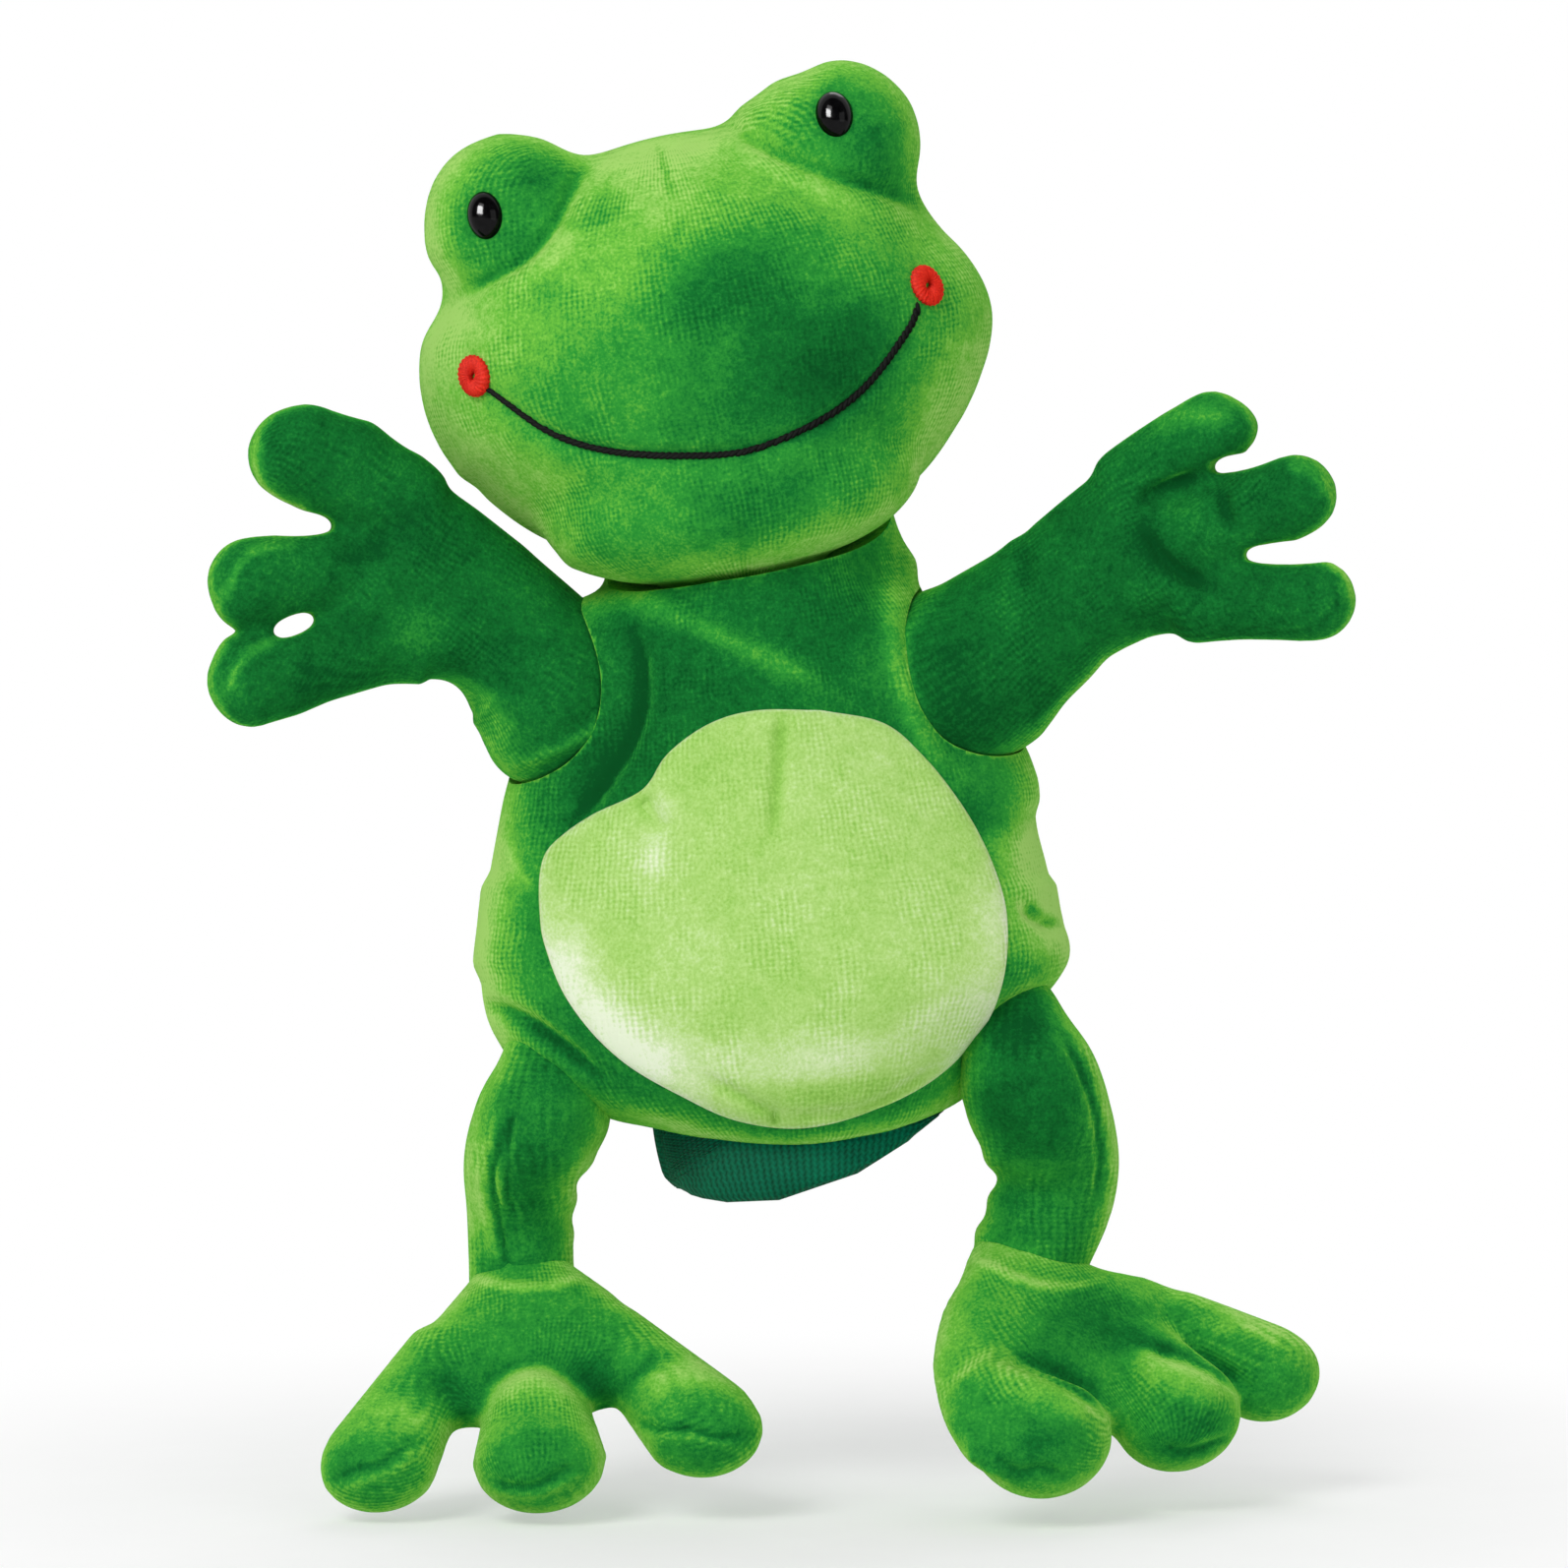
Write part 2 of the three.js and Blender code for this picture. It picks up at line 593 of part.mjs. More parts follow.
/**
 * One eye mound with its filling, its eye and the washer that holds the eye.
 */
function addEye({ name, side, eyeOut, eyeUp }) {
  const roll = radians(BROW_ROLL);
  const centre = new THREE.Vector3(side * MOUND_APART, -MOUND_FORWARD, MOUND_RISE);
  centre.applyAxisAngle(new THREE.Vector3(0, 1, 0), -roll);
  centre.x += BROW_SHIFT;
  centre.z += HEAD_Z;
  const moundEgg = (inset, columns, rows) => {
    const half = [MOUND_HALF_WIDTH, MOUND_HALF_DEPTH, MOUND_HALF_HEIGHT].map((s) => s - inset);
    return egg(half[0], half[1], half[2], half[2], columns, rows).translate(...centre);
  };
  const surface = new THREE.Mesh(moundEgg(0, 12, 7));
  const at = frontOf(surface, centre.x + side * eyeOut, centre.z + eyeUp);
  const out = at.clone().sub(centre);
  out.divide(new THREE.Vector3(MOUND_HALF_WIDTH, MOUND_HALF_DEPTH, MOUND_HALF_HEIGHT));
  out.divide(new THREE.Vector3(MOUND_HALF_WIDTH, MOUND_HALF_DEPTH, MOUND_HALF_HEIGHT));
  out.normalize();

  const seat = new THREE.Object3D();
  seat.position.copy(at);
  face(seat, out);
  seat.updateMatrix();
  const seated = (geometry) => solidOf(geometry.applyMatrix4(seat.matrix));
  const upright = (radius, from, to, sides) =>
    new THREE.CylinderGeometry(radius, radius, to - from, sides).translate(0, (from + to) / 2, 0);

  const washerFrom = VELOUR + SEAM_GAP;
  const washerTo = washerFrom + WASHER_THICKNESS;
  const headRoom = solidOf(headEgg(-SEAM_GAP, 20, 12));
  const washerRoom = (from) =>
    seated(upright(WASHER_RADIUS + SEAM_GAP, from, washerTo + SEAM_GAP, 10));
  const shankRoom = seated(upright(SHANK_RADIUS + SEAM_GAP, -FAR / 8, SHANK_LENGTH + SEAM_GAP, 6));
  const pressedFlat = seated(upright(EYE_HALF_HEIGHT + 1, -FAR / 8, 0, 10));
  const room = headRoom.add(shankRoom).add(pressedFlat);
  const cover = solidOf(moundEgg(0, 12, 7))
    .subtract(solidOf(moundEgg(VELOUR, 10, 6)))
    .subtract(room)
    .subtract(washerRoom(washerFrom - SEAM_GAP));
  head.add(piece(`${name}_eye_mound`, cloth(GREEN), cover));
  const fill = solidOf(moundEgg(FILL_INSET, 10, 6)).subtract(room).subtract(washerRoom(0));
  head.add(piece(`${name}_mound_stuffing`, cloth(FILL_WHITE), fill));

  const bead = solidOf(egg(EYE_HALF_WIDTH, EYE_DOME, EYE_HALF_HEIGHT, EYE_HALF_HEIGHT, 14, 8));
  const front = solidOf(halfSpace("y", -SEAM_GAP, -1));
  const shank = solidOf(upright(SHANK_RADIUS, -EYE_DOME / 2, SHANK_LENGTH, 8));
  const eye = piece(`${name}_eye`, cloth(EYE_BLACK, 0.1), bead.intersect(front).add(shank));
  eye.position.copy(at);
  face(eye, out);
  head.add(eye);

  const disc = solidOf(upright(WASHER_RADIUS, washerFrom, washerTo, 12));
  const hole = solidOf(upright(SHANK_RADIUS + 0.1, -FAR / 2, FAR / 2, 8));
  const washer = piece(`${name}_eye_washer`, cloth(FILL_WHITE, 0.4), disc.subtract(hole));
  washer.position.copy(at);
  face(washer, out);
  head.add(washer);
}

[LEFT, RIGHT].forEach(addKnot);
[LEFT, RIGHT].forEach(addEye);
torso.add(head);

// Arms

/**
 * An arm's form along +X from its joint centre, drawn in by an inset.
 */
function armForm({ palmReach, wristHalfHeight, fingers }, inset, fine) {
  const columns = fine ? 12 : 8;
  const ringAt = (x, halfHeight, halfDepth) => {
    const ring = [];
    for (let k = 0; k < columns; k++) {
      const angle = (2 * Math.PI * k) / columns;
      const y = Math.cos(angle) * (halfDepth - inset);
      const z = Math.sin(angle) * (halfHeight - inset);
      ring.push(new THREE.Vector3(x, y, z));
    }
    return ring;
  };
  const ballRings = [25, 55, 85, 115].map((degrees) => {
    const radius = Math.sin(radians(degrees)) * (SHOULDER_BALL - inset) + inset;
    return ringAt(-Math.cos(radians(degrees)) * (SHOULDER_BALL - inset), radius, radius);
  });
  const sleeve = solidOf(
    loft([
      ...ballRings,
      ringAt(palmReach * 0.4, SLEEVE_HALF_HEIGHT, SLEEVE_HALF_DEPTH),
      ringAt(palmReach * 0.7, wristHalfHeight, WRIST_HALF_DEPTH),
      ringAt(palmReach, wristHalfHeight, PALM_HALF_DEPTH),
    ]),
  );
  const palm = egg(
    PALM_HALF_LENGTH - inset,
    PALM_HALF_DEPTH - inset,
    PALM_HALF_HEIGHT - inset,
    PALM_HALF_HEIGHT - inset,
    columns,
    fine ? 6 : 5,
  ).translate(palmReach, 0, -PALM_LOW);
  let form = sleeve.add(solidOf(palm));
  for (const { across, angle, reach, radius } of fingers) {
    const finger = new THREE.CapsuleGeometry(radius - inset, reach, 2, fine ? 8 : 6);
    finger.rotateZ(-Math.PI / 2).translate(reach / 2, 0, 0);
    finger.scale(1, FINGER_FLATNESS, 1).rotateY(-radians(angle));
    form = form.add(solidOf(finger.translate(palmReach, 0, across)));
  }
  return form;
}

/**
 * One arm with its armhole seam, its two covers and the filling of its hand.
 */
function addArm(limb, sideGroup) {
  const { name, shoulderBelow, raise } = limb;
  const arm = new THREE.Group();
  arm.name = `${name}_arm`;
  arm.position.set(SHOULDER_X, -SHOULDER_FORWARD, SHOULDER_Z - shoulderBelow);
  arm.rotation.set(0, -radians(raise), -radians(ARM_FORWARD), "ZYX");

  const seam = seamBand(ARM_SEAM_RADIUS, ARM_SEAM_FROM, ARM_SEAM_SPAN).rotateY(Math.PI / 2);
  arm.add(piece(`${name}_armhole_seam`, cloth(GREEN), solidOf(seam)));

  const mouth = solidOf(halfSpace("x", -ARM_MOUTH, -1));
  const shell = armForm(limb, 0, true).subtract(armForm(limb, VELOUR, false));
  const [front, back] = splitAt(shell.subtract(mouth), "y", 0);
  arm.add(piece(`${name}_arm_front`, cloth(GREEN), front));
  arm.add(piece(`${name}_arm_back`, cloth(GREEN), back));

  const beyondPocket = solidOf(halfSpace("x", POCKET_DEPTH, 1));
  const fill = armForm(limb, FILL_INSET, false).intersect(beyondPocket);
  arm.add(piece(`${name}_hand_stuffing`, cloth(FILL_WHITE), fill));
  sideGroup.add(arm);
}

// Legs and feet

/**
 * A leg's form from its hip to its ankle, drawn in by an inset.
 */
function legForm({ legLength, legRadius, kneeOut, ankleOut }, inset, columns) {
  const path = new THREE.CatmullRomCurve3([
    new THREE.Vector3(0, 0, 0),
    new THREE.Vector3(kneeOut * 1.1, -LEG_FORWARD * 0.2, -legLength * 0.2),
    new THREE.Vector3(kneeOut, -LEG_FORWARD * 0.5, -legLength * 0.5),
    new THREE.Vector3(ankleOut, -LEG_FORWARD, -legLength),
  ]);
  const ringAt = (share, shift, radius) => {
    const along = path.getTangent(share);
    const across = new THREE.Vector3(0, 1, 0).cross(along).normalize();
    const ahead = along.clone().cross(across);
    const ring = [];
    for (let k = 0; k < columns; k++) {
      const angle = (2 * Math.PI * k) / columns;
      const p = path.getPoint(share).addScaledVector(along, shift);
      p.addScaledVector(across, Math.cos(angle) * radius);
      p.addScaledVector(ahead, Math.sin(angle) * radius);
      ring.push(p);
    }
    return ring;
  };
  const ballRing = (share, degrees, radius) =>
    ringAt(share, -Math.cos(radians(degrees)) * radius, Math.sin(radians(degrees)) * radius);
  const hip = [30, 70, 115].map((degrees) => ballRing(0, degrees, HIP_BALL - inset));
  const shank = [0.35, 0.6].map((share) => ringAt(share, 0, legRadius - inset));
  const ankle = [70, 110, 150].map((degrees) => ballRing(1, degrees, ANKLE_BALL - inset));
  return solidOf(loft([...hip, ...shank, ...ankle]));
}

/**
 * A toe that narrows towards its root, drawn in by an inset.
 */
function toeForm({ across, reach, turn, length, radius }, inset, fine) {
  const toe = new THREE.CapsuleGeometry(radius - inset, length, 2, fine ? 8 : 6);
  toe.translate(0, length / 2, 0);
  const points = toe.attributes.position;
  for (let k = 0; k < points.count; k++) {
    const share = 1 - TOE_TAPER * THREE.MathUtils.clamp(points.getY(k) / length, 0, 1);
    points.setX(k, points.getX(k) * share);
    points.setZ(k, points.getZ(k) * share * TOE_FLATNESS);
  }
  return toe.rotateZ(radians(turn)).translate(across, -reach, TOE_LIFT);
}

/**
 * A foot's form along -Y from its ankle, drawn in by an inset.
 */
function footForm({ footSections, toes }, inset, fine) {
  const columns = fine ? 12 : 8;
  const last = footSections.length - 1;
  const rings = footSections.map(({ reach, across, halfWidth, halfHeight }, index) => {
    const ring = [];
    const drawnIn = index === 0 ? -inset : index === last ? inset : 0;
    for (let k = 0; k < columns; k++) {
      const angle = (2 * Math.PI * k) / columns;
      const x = across + Math.cos(angle) * (halfWidth - inset);
      const z = Math.sin(angle) * (halfHeight - inset);
      ring.push(new THREE.Vector3(x, drawnIn - reach, z));
    }
    return ring;
  });
  let form = solidOf(loft(rings));
  for (const toe of toes) {
    form = form.add(solidOf(toeForm(toe, inset, fine)));
  }
  return form;
}

/**
 * One leg with its cover and filling, and the foot that hangs from it.
 */
function addLeg(limb, sideGroup) {
  const { name, side, legLength, ankleOut, footYaw, footPitch, footRoll } = limb;
  const leg = new THREE.Group();
  leg.name = `${name}_leg`;
  leg.position.set(HIP_X, -HIP_FORWARD, RUMP_Z + HIP_RISE);
  leg.rotation.y = side * radians(BODY_LEAN);

  const openTop = solidOf(halfSpace("z", HIP_TOP, 1));
  const cover = legForm(limb, 0, 10)
    .subtract(legForm(limb, VELOUR, 8))
    .subtract(openTop);
  leg.add(piece(`${name}_leg_cover`, cloth(GREEN), cover));
  const fill = legForm(limb, FILL_INSET, 8).subtract(openTop);
  leg.add(piece(`${name}_leg_stuffing`, cloth(FILL_WHITE), fill));

  const foot = new THREE.Group();
  foot.name = `${name}_foot`;
  foot.position.set(ankleOut, -LEG_FORWARD, -legLength);
  foot.rotation.set(radians(footPitch), -radians(footRoll), radians(footYaw), "ZXY");
  const collarCut = halfSpace("z", -ANKLE_COLLAR_DROP, 1);
  collarCut.applyQuaternion(foot.quaternion.clone().invert());
  const ankleRoom = ball(ANKLE_SOCKET, [0, 0, 0], 16, 10).add(solidOf(collarCut));
  const shell = footForm(limb, 0, true).subtract(footForm(limb, VELOUR, false)).subtract(ankleRoom);
  const [sole, top] = splitAt(shell, "z", -FOOT_SEAM_DROP);
  foot.add(piece(`${name}_foot_top`, cloth(GREEN), top));
  foot.add(piece(`${name}_foot_sole`, cloth(GREEN), sole));
  const footFill = footForm(limb, FILL_INSET, false).subtract(ankleRoom);
  foot.add(piece(`${name}_foot_stuffing`, cloth(FILL_WHITE), footFill));
  leg.add(foot);
  sideGroup.add(leg);
}

for (const limb of [LEFT, RIGHT]) {
  const sideGroup = new THREE.Group();
  sideGroup.name = `${limb.name}_side`;
  sideGroup.scale.x = limb.side;
  addArm(limb, sideGroup);
  addLeg(limb, sideGroup);
  torso.add(sideGroup);
}

const puppet = new THREE.Group();
puppet.name = "frog_glove_puppet";
puppet.add(torso);

export default puppet;
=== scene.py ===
"""Dresses the frog glove puppet: stuffed velour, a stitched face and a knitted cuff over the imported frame."""

from __future__ import annotations

import json
import logging
import math
from dataclasses import dataclass
from enum import Enum
from typing import Sequence

import bmesh
import bpy
import numpy as np
from mathutils import Matrix, Vector
from mathutils.bvhtree import BVHTree

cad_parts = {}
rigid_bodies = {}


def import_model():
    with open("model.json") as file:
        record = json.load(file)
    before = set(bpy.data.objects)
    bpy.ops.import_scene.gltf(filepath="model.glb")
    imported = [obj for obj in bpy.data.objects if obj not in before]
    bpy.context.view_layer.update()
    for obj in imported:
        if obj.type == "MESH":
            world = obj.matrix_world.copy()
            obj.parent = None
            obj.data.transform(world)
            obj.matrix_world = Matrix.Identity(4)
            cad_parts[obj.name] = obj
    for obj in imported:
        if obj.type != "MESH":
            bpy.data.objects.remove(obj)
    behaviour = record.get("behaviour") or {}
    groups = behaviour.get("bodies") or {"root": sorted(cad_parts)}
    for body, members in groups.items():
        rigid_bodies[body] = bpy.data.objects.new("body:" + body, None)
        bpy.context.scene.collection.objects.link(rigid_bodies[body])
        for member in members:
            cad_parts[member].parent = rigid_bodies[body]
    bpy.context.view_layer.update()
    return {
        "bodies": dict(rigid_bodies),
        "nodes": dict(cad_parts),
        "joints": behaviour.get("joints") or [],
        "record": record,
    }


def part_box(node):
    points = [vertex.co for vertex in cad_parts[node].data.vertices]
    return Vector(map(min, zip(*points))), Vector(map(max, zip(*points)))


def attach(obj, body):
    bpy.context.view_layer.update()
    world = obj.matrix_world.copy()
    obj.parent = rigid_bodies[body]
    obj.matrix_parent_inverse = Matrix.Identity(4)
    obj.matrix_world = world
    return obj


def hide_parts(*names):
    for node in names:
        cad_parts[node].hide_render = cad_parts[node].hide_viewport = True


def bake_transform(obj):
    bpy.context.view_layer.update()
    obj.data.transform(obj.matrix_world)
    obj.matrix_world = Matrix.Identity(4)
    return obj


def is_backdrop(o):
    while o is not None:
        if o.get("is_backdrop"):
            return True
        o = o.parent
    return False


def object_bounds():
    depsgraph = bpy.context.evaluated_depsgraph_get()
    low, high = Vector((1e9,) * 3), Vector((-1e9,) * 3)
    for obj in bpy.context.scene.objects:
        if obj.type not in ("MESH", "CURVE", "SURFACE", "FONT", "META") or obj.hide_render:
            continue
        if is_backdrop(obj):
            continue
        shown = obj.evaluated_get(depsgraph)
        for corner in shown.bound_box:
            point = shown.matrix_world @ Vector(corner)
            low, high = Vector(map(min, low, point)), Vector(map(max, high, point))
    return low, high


LOG = logging.getLogger("frog")
MM = 0.001
# The nap value is the cloth's own tone plus painted sheen, painted highlights and painted shade.
NAP_AND_PAINTED_LIGHT = "nap"
WEAVE = "weave"
SHARP_EDGE = math.radians(55)
MERGE_GAP = 1e-4
Point2 = tuple[float, float]
Point3 = tuple[float, float, float]
Colour = tuple[float, float, float, float]
Sections = tuple[tuple[float, ...], ...]


class Side(Enum):
    """The puppet's own left and right, with the way each lies along X."""

    LEFT = 1
    RIGHT = -1

    @property
    def word(self) -> str:
        """The side's name, as in the names of nodes and bodies."""
        return self.name.lower()

    @property
    def mirror(self) -> Matrix:
        """Turns a shape drawn for the left side over to this side."""
        return Matrix.Diagonal((self.value, 1, 1, 1))


class Facing(Enum):
    """Which part of a piece a stroke reaches."""

    FRONT = "front"
    AROUND = "around"


def srgb(red: float, green: float, blue: float) -> Colour:
    """An opaque colour as a shader takes it, from what a screen shows on a scale of 0 to 255."""
    values = [channel / 255 for channel in (red, green, blue)]
    linear = [v / 12.92 if v <= 0.04045 else ((v + 0.055) / 1.055) ** 2.4 for v in values]
    return (*linear, 1.0)


def turn(axis: str, degrees: float) -> Matrix:
    """A turn about one axis by so many degrees."""
    return Matrix.Rotation(math.radians(degrees), 4, axis)


def seat(at: Vector, normal: Vector, along: Vector) -> Matrix:
    """A frame on a surface.

    Args:
        at: Its place.
        normal: Its Z axis.
        along: The direction that its X axis follows as far as the surface lets it.

    Returns:
        The frame's matrix.
    """
    z = normal.normalized()
    x = (along - z * along.dot(z)).normalized()
    place = Matrix((x, z.cross(x), z)).transposed().to_4x4()
    return Matrix.Translation(at) @ place


def curve_through(path: Sequence[Sequence[float]], steps: int = 6) -> np.ndarray:
    """A smooth line through points.

    Args:
        path: The points, in two or three dimensions.
        steps: How many short lines lie between two points.

    Returns:
        The line's points, one row each.
    """
    given = np.asarray(path, float)
    if len(given) < 3:
        return given
    before = np.vstack([2 * given[0] - given[1], given, 2 * given[-1] - given[-2]])
    line = []
    for p0, p1, p2, p3 in zip(before, before[1:], before[2:], before[3:]):
        for t in np.arange(steps) / steps:
            bend = (2 * p0 - 5 * p1 + 4 * p2 - p3) * t**2 + (3 * p1 - p0 - 3 * p2 + p3) * t**3
            line.append(0.5 * (2 * p1 + (p2 - p0) * t + bend))
    line.append(given[-1])
    return np.array(line)


def smooth_step(value: np.ndarray, low: float, high: float) -> np.ndarray:
    """0 below low, 1 above high and an easy rise between them."""
    t = np.clip((value - low) / (high - low), 0, 1)
    return t * t * (3 - 2 * t)


def linked(name: str, data: bpy.types.ID) -> bpy.types.Object:
    """A new object, put in the scene."""
    made = bpy.data.objects.new(name, data)
    bpy.context.scene.collection.objects.link(made)
    return made


def mesh_of(bm: bmesh.types.BMesh, name: str) -> bpy.types.Mesh:
    """A mesh from a bmesh, which is used up."""
    mesh = bpy.data.meshes.new(name)
    bm.to_mesh(mesh)
    bm.free()
    return mesh


def whole_numbers(items: bpy.types.bpy_prop_collection, key: str) -> np.ndarray:
    """One whole number from each item of a mesh."""
    found = np.empty(len(items), np.int32)
    items.foreach_get(key, found)
    return found


@dataclass(frozen=True)
class Viewpoint:
    """Where the puppet is seen from, and where a point shows on the upright plane through the origin."""

    distance: float = 1600.0
    elevation: float = 3.0
    aim: Point3 = (-3.9, 0.0, 88.5)
    frame_width: float = 345.9
    sensor: float = 36.0

    @property
    def eye(self) -> Vector:
        """The place of the camera, in millimetres."""
        tilt = math.radians(self.elevation)
        back = Vector((0, -math.cos(tilt), math.sin(tilt)))
        return Vector(self.aim) + self.distance * back

    def on_plane(self, points: np.ndarray) -> np.ndarray:
        """Where points show, as X and Z on the plane.

        Args:
            points: Places in the row frame, in millimetres.

        Returns:
            One row of X and Z for each point.
        """
        eye = np.array(self.eye)
        share = eye[1] / (eye[1] - points[:, 1])
        shown = eye + share[:, None] * (points - eye)
        return shown[:, [0, 2]]

    def ray(self, x: float, z: float) -> tuple[Vector, Vector]:
        """The line of sight through a point of the plane: where it starts and its direction."""
        return self.eye, (Vector((x, 0, z)) - self.eye).normalized()

    def camera(self) -> None:
        """Makes the camera and gives it to the scene."""
        data = bpy.data.cameras.new("camera")
        data.sensor_width = self.sensor
        data.lens = self.sensor * self.distance / self.frame_width
        data.clip_end = 20.0
        camera = linked("camera", data)
        camera.location = self.eye * MM
        camera.rotation_euler = (math.radians(90 - self.elevation), 0, 0)
        bpy.context.scene.camera = camera


VIEW = Viewpoint()


@dataclass(frozen=True)
class Stroke:
    """A fold, seam or band on a piece, drawn as it shows from the front, in millimetres, with painted shade or
    a painted highlight along it.
    """

    path: tuple[Point2, ...]
    width: float
    depth: float = 0.0
    nap: float = 0.0
    ripple: float = 0.0
    facing: Facing = Facing.FRONT

    def weight(self, shown: np.ndarray) -> np.ndarray:
        """How strongly the stroke acts on each point.

        Args:
            shown: Where the points show on the plane.

        Returns:
            Shares from 0 to 1.
        """
        line = curve_through(self.path)
        if len(line) == 1:
            line = np.vstack([line, line])
        lengths = np.linalg.norm(np.diff(line, axis=0), axis=1)
        total = max(lengths.sum(), 1e-6)
        reach = 3 * self.width
        near = np.all((shown > line.min(0) - reach) & (shown < line.max(0) + reach), axis=1)
        spots = shown[near]
        best = np.full(len(spots), np.inf)
        along = np.zeros(len(spots))
        done = 0.0
        for start, end, length in zip(line, line[1:], lengths):
            step = end - start
            share = np.clip((spots - start) @ step / max(length**2, 1e-9), 0, 1)
            gap = np.linalg.norm(spots - start - share[:, None] * step, axis=1)
            closer = gap < best
            best = np.where(closer, gap, best)
            along = np.where(closer, done + share * length, along)
            done += length
        strength = np.exp(-((best / self.width) ** 2))
        if total > 2 * self.width:
            ends = np.minimum(along, total - along) / total
            strength *= 0.35 + 0.65 * smooth_step(ends, 0.0, 0.2)
        if self.ripple:
            strength *= 0.5 + 0.5 * np.cos(2 * math.pi * along / self.ripple)
        weights = np.zeros(len(shown))
        weights[near] = strength
        return weights


def tone(path: tuple[Point2, ...], width: float, nap: float) -> Stroke:
    """A stroke that paints the front lighter or darker, as painted sheen, highlight or shade, and leaves the
    skin as it is.
    """
    return Stroke(path, width, nap=nap)


def swell(path: tuple[Point2, ...], width: float, depth: float) -> Stroke:
    """A stroke that moves the skin out or in, all round the piece, and leaves the painted light and shade as
    they are.
    """
    return Stroke(path, width, depth, facing=Facing.AROUND)


@dataclass(frozen=True)
class Ring:
    """One section of a stuffed limb: its middle, and its half sizes across and front to back."""

    at: Point3
    across: float
    deep: float


class Form:
    """A stuffed shape in millimetres, put together from eggs and limbs that overlap."""

    def __init__(self) -> None:
        """Starts with nothing."""
        self.bm = bmesh.new()

    def egg(self, at: Point3, half: Point3, up: float = 0.0, lean: Matrix = Matrix()) -> Form:
        """Adds an egg.

        Args:
            at: Its middle.
            half: Its half sizes along X, Y and Z.
            up: Half size of its upper part, where that differs.
            lean: How it is turned about its middle.

        Returns:
            The form itself.
        """
        verts = bmesh.ops.create_uvsphere(self.bm, u_segments=40, v_segments=24, radius=1.0)["verts"]
        bmesh.ops.scale(self.bm, vec=half, verts=verts)
        if up:
            upper = [v for v in verts if v.co.z > 0]
            bmesh.ops.scale(self.bm, vec=(1, 1, up / half[2]), verts=upper)
        bmesh.ops.transform(self.bm, matrix=Matrix.Translation(at) @ lean, verts=verts)
        return self

    def limb(self, rings: Sequence[Ring], flat: Point3 = (0, 1, 0), squareness: float = 2.0) -> Form:
        """Adds a limb that runs through sections.

        Args:
            rings: The sections, from one end to the other.
            flat: The direction in which the half depth counts.
            squareness: 2 gives oval sections, and more gives fuller corners.

        Returns:
            The form itself.
        """
        verts = bmesh.ops.create_circle(self.bm, cap_ends=True, segments=48, radius=1.0)["verts"]
        for v in verts:
            x, y = v.co.x, v.co.y
            v.co.x = math.copysign(abs(x) ** (2 / squareness), x)
            v.co.y = math.copysign(abs(y) ** (2 / squareness), y)
        places = [self._section(rings, i, Vector(flat)) for i in range(len(rings))]
        bmesh.ops.transform(self.bm, matrix=places[0], verts=verts)
        cap = verts[0].link_faces[0]
        for before, after in zip(places, places[1:]):
            grown = bmesh.ops.extrude_face_region(self.bm, geom=[cap])["geom"]
            cap = next(g for g in grown if isinstance(g, bmesh.types.BMFace))
            bmesh.ops.transform(self.bm, matrix=after @ before.inverted(), verts=cap.verts)
        return self

    @staticmethod
    def _section(rings: Sequence[Ring], i: int, flat: Vector) -> Matrix:
        """Where one section's unit circle goes.

        Args:
            rings: All sections of the limb.
            i: Which one.
            flat: The direction in which the half depth counts.

        Returns:
            The matrix for the circle.
        """
        ring = rings[i]
        ahead = Vector(rings[min(i + 1, len(rings) - 1)].at) - Vector(rings[max(i - 1, 0)].at)
        ahead.normalize()
        deep = (flat - ahead * flat.dot(ahead)).normalized()
        across = deep.cross(ahead)
        place = Matrix((across, deep, ahead)).transposed().to_4x4()
        size = Matrix.Diagonal((ring.across, ring.deep, 1, 1))
        return Matrix.Translation(ring.at) @ place @ size

    def mesh(self, name: str) -> bpy.types.Mesh:
        """The shape as a mesh; the form is used up."""
        bmesh.ops.recalc_face_normals(self.bm, faces=self.bm.faces)
        return mesh_of(self.bm, name)


